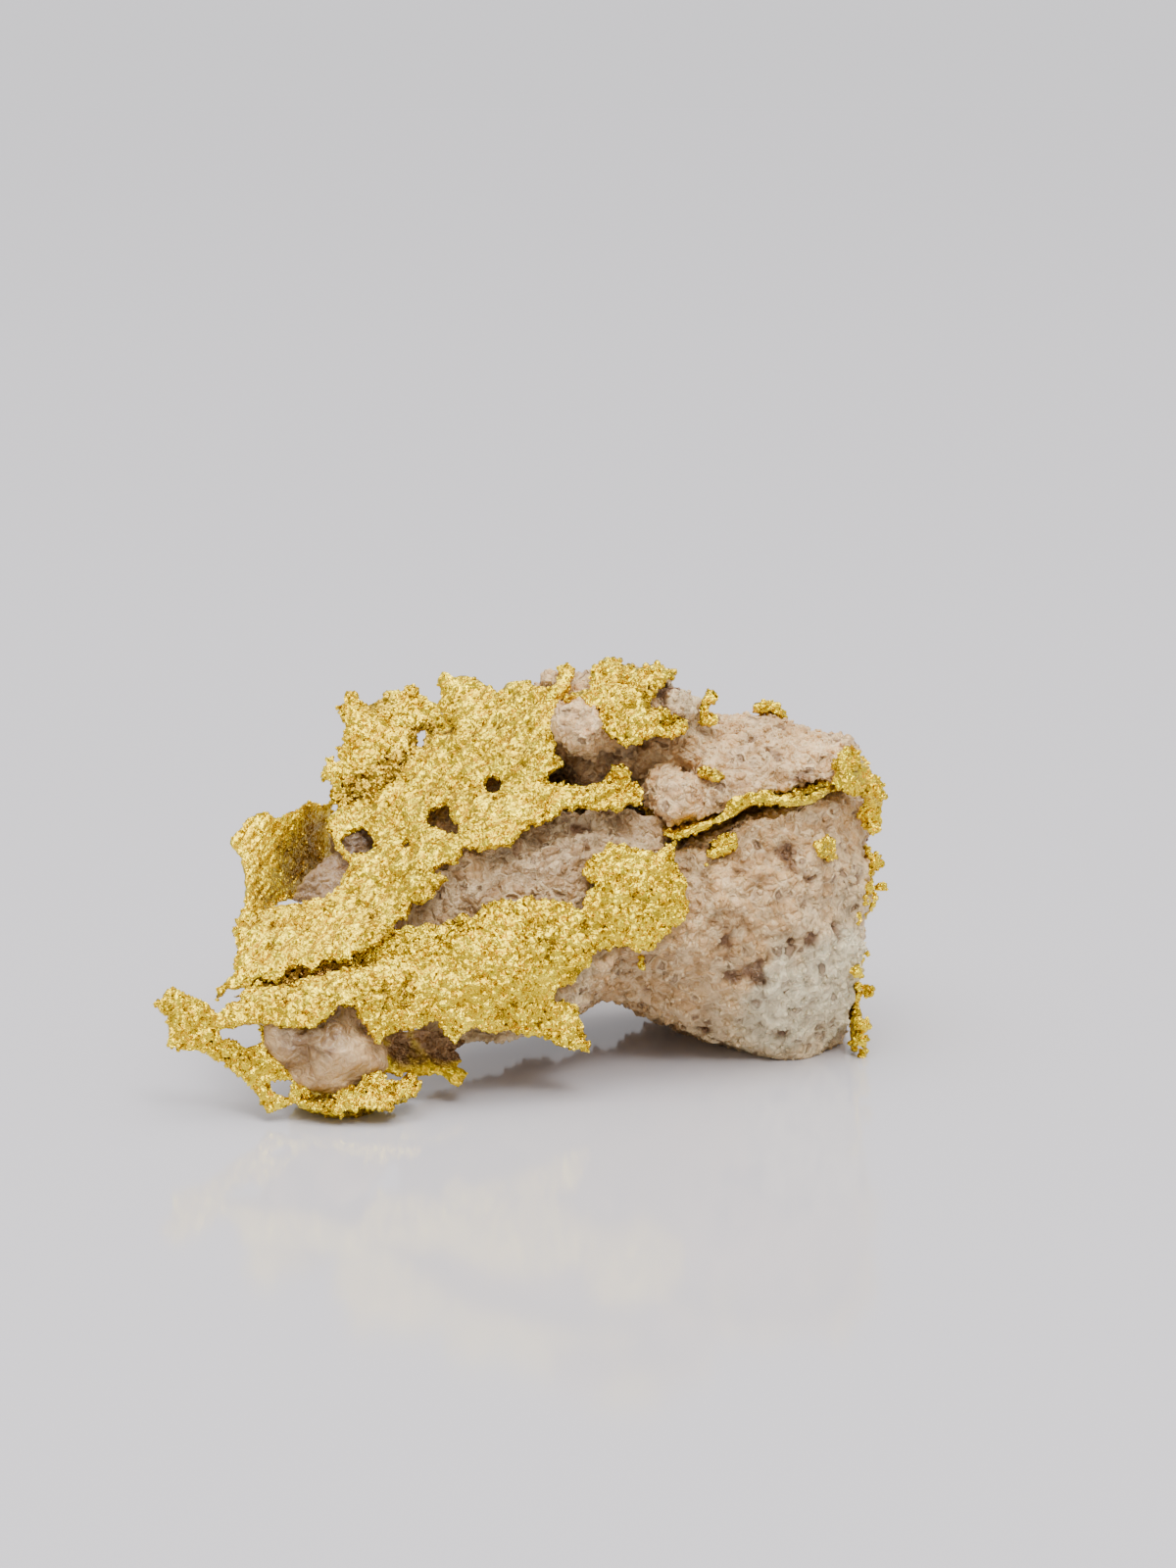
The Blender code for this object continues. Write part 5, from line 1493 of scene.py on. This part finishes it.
    def crest(self) -> Leaf:
        """The narrow leaf along the top of the back."""
        return Leaf(
            "gold_rear_crest",
            [(-3.4, 0.9), (-2.4, 1.8), (-1.4, 2.0), (0.0, 2.5), (1.2, 2.1), (2.2, 2.0), (3.6, 1.5),
             (4.8, 1.3), (4.2, 0.8), (2.6, 1.2), (1.0, 0.8), (-0.6, 1.0), (-1.8, 0.4), (-3.0, 0.2)],
            [(-3.2, 0.7, 4.4), (-1.0, 1.2, 5.2), (0.5, 2.4, 4.9), (2.0, 1.4, 5.8),
             (4.5, 1.3, 5.9), (-2.0, 1.8, 4.4)],
            DENSE_GOLD, in_steps=False, seed=self.seed + 4, cell=0.07, teeth=0.12, crumple=0.05,
            crust=Crust(6.0, 26.0, 0.035, 0.09),
        )

    def build(self) -> None:
        """Builds them all."""
        for leaf in (self.back(), self.crack(), self.lip(), self.right(), self.rear(), self.crest()):
            leaf.build()


@dataclass
class Nuggets:
    """The small lumps of gold that sit on the quartz. A clump is left, top, right and bottom in steps, and deep."""

    nodes: tuple[str, ...] = ("gold_nugget_top", "gold_nugget_slab", "gold_nugget_seam", "gold_nugget_face")
    voxel: float = 0.04
    relief: float = 0.07
    seed: int = 60
    crust: Crust = Crust(24.0, 0.0, 0.035, 0.1)
    clump_crust: Crust = Crust(60.0, 0.0, 0.045, 0.12)
    clumps: tuple[tuple[float, float, float, float, float], ...] = (
        (885, 868, 903, 892, 1.6), (893, 899, 908, 911, 1.6), (877, 898, 894, 914, 1.2), (875, 912, 888, 928, 1.0),
        (872, 930, 879, 946, 0.9), (881, 969, 889, 976, 1.3), (868, 985, 883, 1000, 0.85),
        (880, 1005, 894, 1020, 1.7), (872, 1038, 890, 1058, 1.5), (873, 1054, 888, 1070, 1.5),
        (876, 1070, 886, 1083, 1.7), (879, 790, 893, 806, 0.9), (888, 800, 905, 816, 1.1),
        (880, 826, 894, 838, 1.3), (884, 838, 900, 852, 1.3), (862, 766, 878, 778, 0.6),
        (713, 785, 737, 795, -0.45), (651, 974, 658, 990, -0.95), (718, 880, 724, 885, -1.2),
        (626, 782, 643, 796, -1.0), (778, 716, 800, 727, 2.1),
    )

    def build(self) -> None:
        """Builds each one from its CAD node's shape, and then the clumps."""
        for number, node in enumerate(self.nodes):
            obj = even_copy(node, node + "_lump", self.voxel)
            spots, normals = surface_of(obj)
            grown = 0.6 * knobs(spots, 0.2) + 0.4 * knobs(spots, 0.12)
            reshape(obj, spots + normals * (self.relief * grown)[:, None])
            # hollow: the low ground between the knobs, where the finish paints shade.
            mark(obj, "hollow", 1 - grown)
            mark(obj, "rim", 0.0)
            self.crust.grow(obj, self.seed + number, DENSE_GOLD.material())
            dress(obj, DENSE_GOLD, node)
        self.strew_clumps()

    def strew_clumps(self) -> None:
        """Builds the clumps of crystals that stand on the leaves and the stone, each from its box."""
        shape = bmesh.new()
        for left, top, right, bottom, deep in self.clumps:
            middle = steps([((left + right) / 2, (top + bottom) / 2)])[0]
            spot = EYE.to_frame(np.array([[middle[0], middle[1], deep]]))[0]
            wide, high = (right - left) / 2 / STEPS_PER_MM * MM, (bottom - top) / 2 / STEPS_PER_MM * MM
            size = Matrix.Diagonal((0.8 * wide, 0.6 * min(wide, high) + 0.2 * max(wide, high), 0.8 * high, 1.0))
            bmesh.ops.create_icosphere(shape, subdivisions=3, radius=1.0, matrix=Matrix.Translation(spot) @ size)
        mesh = bpy.data.meshes.new("gold_knobs")
        shape.to_mesh(mesh)
        shape.free()
        obj = place("gold_knobs", mesh)
        mark(obj, "hollow", 0.0)
        mark(obj, "rim", 0.0)
        self.clump_crust.grow(obj, self.seed + 20, DENSE_GOLD.material())
        dress(obj, DENSE_GOLD)


@dataclass
class Quartz:
    """The stone. Its lumps bulge against the gold, and its swells stand forward."""

    block_lumps: tuple[Ball, ...] = (
        (-4.7, -3.5, -1.2, 0.55), (-3.9, -2.3, -1.0, 0.6), (-4.3, -2.9, -1.1, 0.55),
        (-3.0, -2.15, -1.1, 0.5), (-1.9, -1.75, -0.9, 0.5), (-1.2, -1.35, -0.6, 0.5), (-0.5, -1.15, -0.5, 0.5),
        (0.3, -1.05, -0.5, 0.5), (1.1, -1.1, -0.4, 0.5), (1.7, -1.2, -0.4, 0.45), (-2.45, -1.95, -1.0, 0.5),
    )
    slab_lumps: tuple[Ball, ...] = (
        (1.95, -0.1, 0.1, 0.62), (2.2, -0.65, -0.2, 0.5), (2.65, -0.3, 0.0, 0.6),
        (-0.3, 1.5, 0.2, 0.7), (-0.05, 1.2, 0.2, 0.62), (-0.95, 2.68, 1.65, 0.33),
        (0.45, 1.25, 0.45, 0.5), (0.95, 1.35, 0.5, 0.45),
        (1.9, 0.75, 1.3, 0.75), (2.5, 1.0, 1.0, 0.6), (1.1, 0.6, 1.3, 0.75), (0.2, 0.45, 1.4, 0.8),
    )
    slab_swells: tuple[Ball, ...] = (
        (-0.3, 1.5, 0.8, 0.5), (2.2, -0.4, 0.7, 0.5), (6.1, 0.35, 0.7, 0.25), (2.5, 2.2, 0.6, 0.6),
    )
    pebble_lumps: tuple[Ball, ...] = ((-7.6, -6.5, -3.15, 0.8), (-7.9, -6.1, -3.0, 0.5), (-6.1, -5.9, -3.0, 0.42))
    back_lumps: tuple[Ball, ...] = ((-6.0, -1.55, 1.3, 0.65),)

    def block(self) -> Stone:
        """The main body below the crack."""
        return Stone("quartz_block", BLOCK_QUARTZ, voxel=0.09, seed=1, lumps=self.block_lumps)

    def slab(self) -> Stone:
        """The piece above the crack, with its cap."""
        return Stone("quartz_upper_slab", SLAB_QUARTZ, voxel=0.08, seed=2, lumps=self.slab_lumps,
                     swells=self.slab_swells)

    def pebble(self) -> Stone:
        """The smooth grain that the gold holds at the lower left."""
        return Stone("quartz_pebble", PEBBLE_QUARTZ, voxel=0.06, grains=(0.03, 0.5), sugar=(0.012, 0.16), pits=0.05,
                     crust=None, seed=3, lumps=self.pebble_lumps)

    def back_stone(self) -> Stone:
        """The small grain between the left fin and the upper leaf."""
        return Stone("quartz_back_stone", SHADED_GRAIN_QUARTZ, voxel=0.06, grains=(0.05, 0.4), pits=0.1, crust=None, seed=4,
                     lumps=self.back_lumps)

    def build(self) -> None:
        """Builds them all."""
        for stone in (self.block(), self.slab(), self.pebble(), self.back_stone()):
            stone.build()


@dataclass
class Studio:
    """The pale floor and the soft light. A higher focus makes a narrower glow."""

    floor: Colour = (0.57, 0.55, 0.56, 1.0)
    reach: float = 4.0
    polish: float = 0.1
    gloss: float = 1.7
    tint: Colour = (0.97, 0.965, 1.0, 1.0)
    level: float = 0.77
    haze: float = 0.25
    overhead: float = 7.8
    front: float = 27.0
    front_side: tuple[float, float, float] = (0.25, -0.6, 0.9)
    overhead_focus: float = 8.0
    front_focus: float = 95.0
    haze_focus: float = 14.0

    def ground(self) -> None:
        """Lays the floor."""
        mesh = bpy.data.meshes.new("floor")
        corners = [(x * self.reach, y * self.reach, 0) for x, y in ((-1, -1), (1, -1), (1, 1), (-1, 1))]
        mesh.from_pydata(corners, [], [(0, 1, 2, 3)])
        obj = place("floor", mesh)
        material = bpy.data.materials.new("pale_floor")
        material.use_nodes = True
        shader = material.node_tree.nodes["Principled BSDF"]
        shader.inputs["Base Color"].default_value = self.floor
        shader.inputs["Roughness"].default_value = self.polish
        shader.inputs["IOR"].default_value = self.gloss
        mesh.materials.append(material)

    def sky(self) -> None:
        """Lights the scene from a pale dome, brightest overhead, with a broad soft glow in front."""
        world = bpy.data.worlds.new("studio")
        world.use_nodes = True
        nodes = Nodes(world.node_tree)
        ray = nodes.add("ShaderNodeTexCoord").outputs["Generated"]
        rise = nodes.maths("MAXIMUM", nodes.add("ShaderNodeSeparateXYZ", {0: ray}).outputs[2], 0.0)
        above = nodes.product(nodes.maths("POWER", rise, self.overhead_focus), self.overhead)
        side = tuple(Vector(self.front_side).normalized())
        facing = nodes.maths("MAXIMUM", nodes.vector("DOT_PRODUCT", ray, side).outputs["Value"], 0.0)
        glow = nodes.product(nodes.maths("POWER", facing, self.front_focus), self.front)
        level = nodes.maths("SUBTRACT", 1.0, rise)
        haze = nodes.product(nodes.maths("POWER", level, self.haze_focus), self.haze)
        power = nodes.maths("ADD", nodes.maths("ADD", above, glow), nodes.maths("ADD", haze, self.level))
        dome = world.node_tree.nodes["Background"]
        dome.inputs["Color"].default_value = self.tint
        world.node_tree.links.new(power, dome.inputs["Strength"])
        bpy.context.scene.world = world

    def build(self) -> None:
        """Builds the floor and the light."""
        self.ground()
        self.sky()


def main() -> None:
    """Builds the specimen and its studio."""
    logging.basicConfig(level=logging.INFO, format="%(name)s %(message)s")
    EYE.camera()
    Studio().build()
    for part in (Quartz(), FrontGold(), LeftEnd(), BackGold(), Nuggets()):
        LOG.info("building %s", type(part).__name__)
        part.build()


if __name__ == "__main__":
    main()
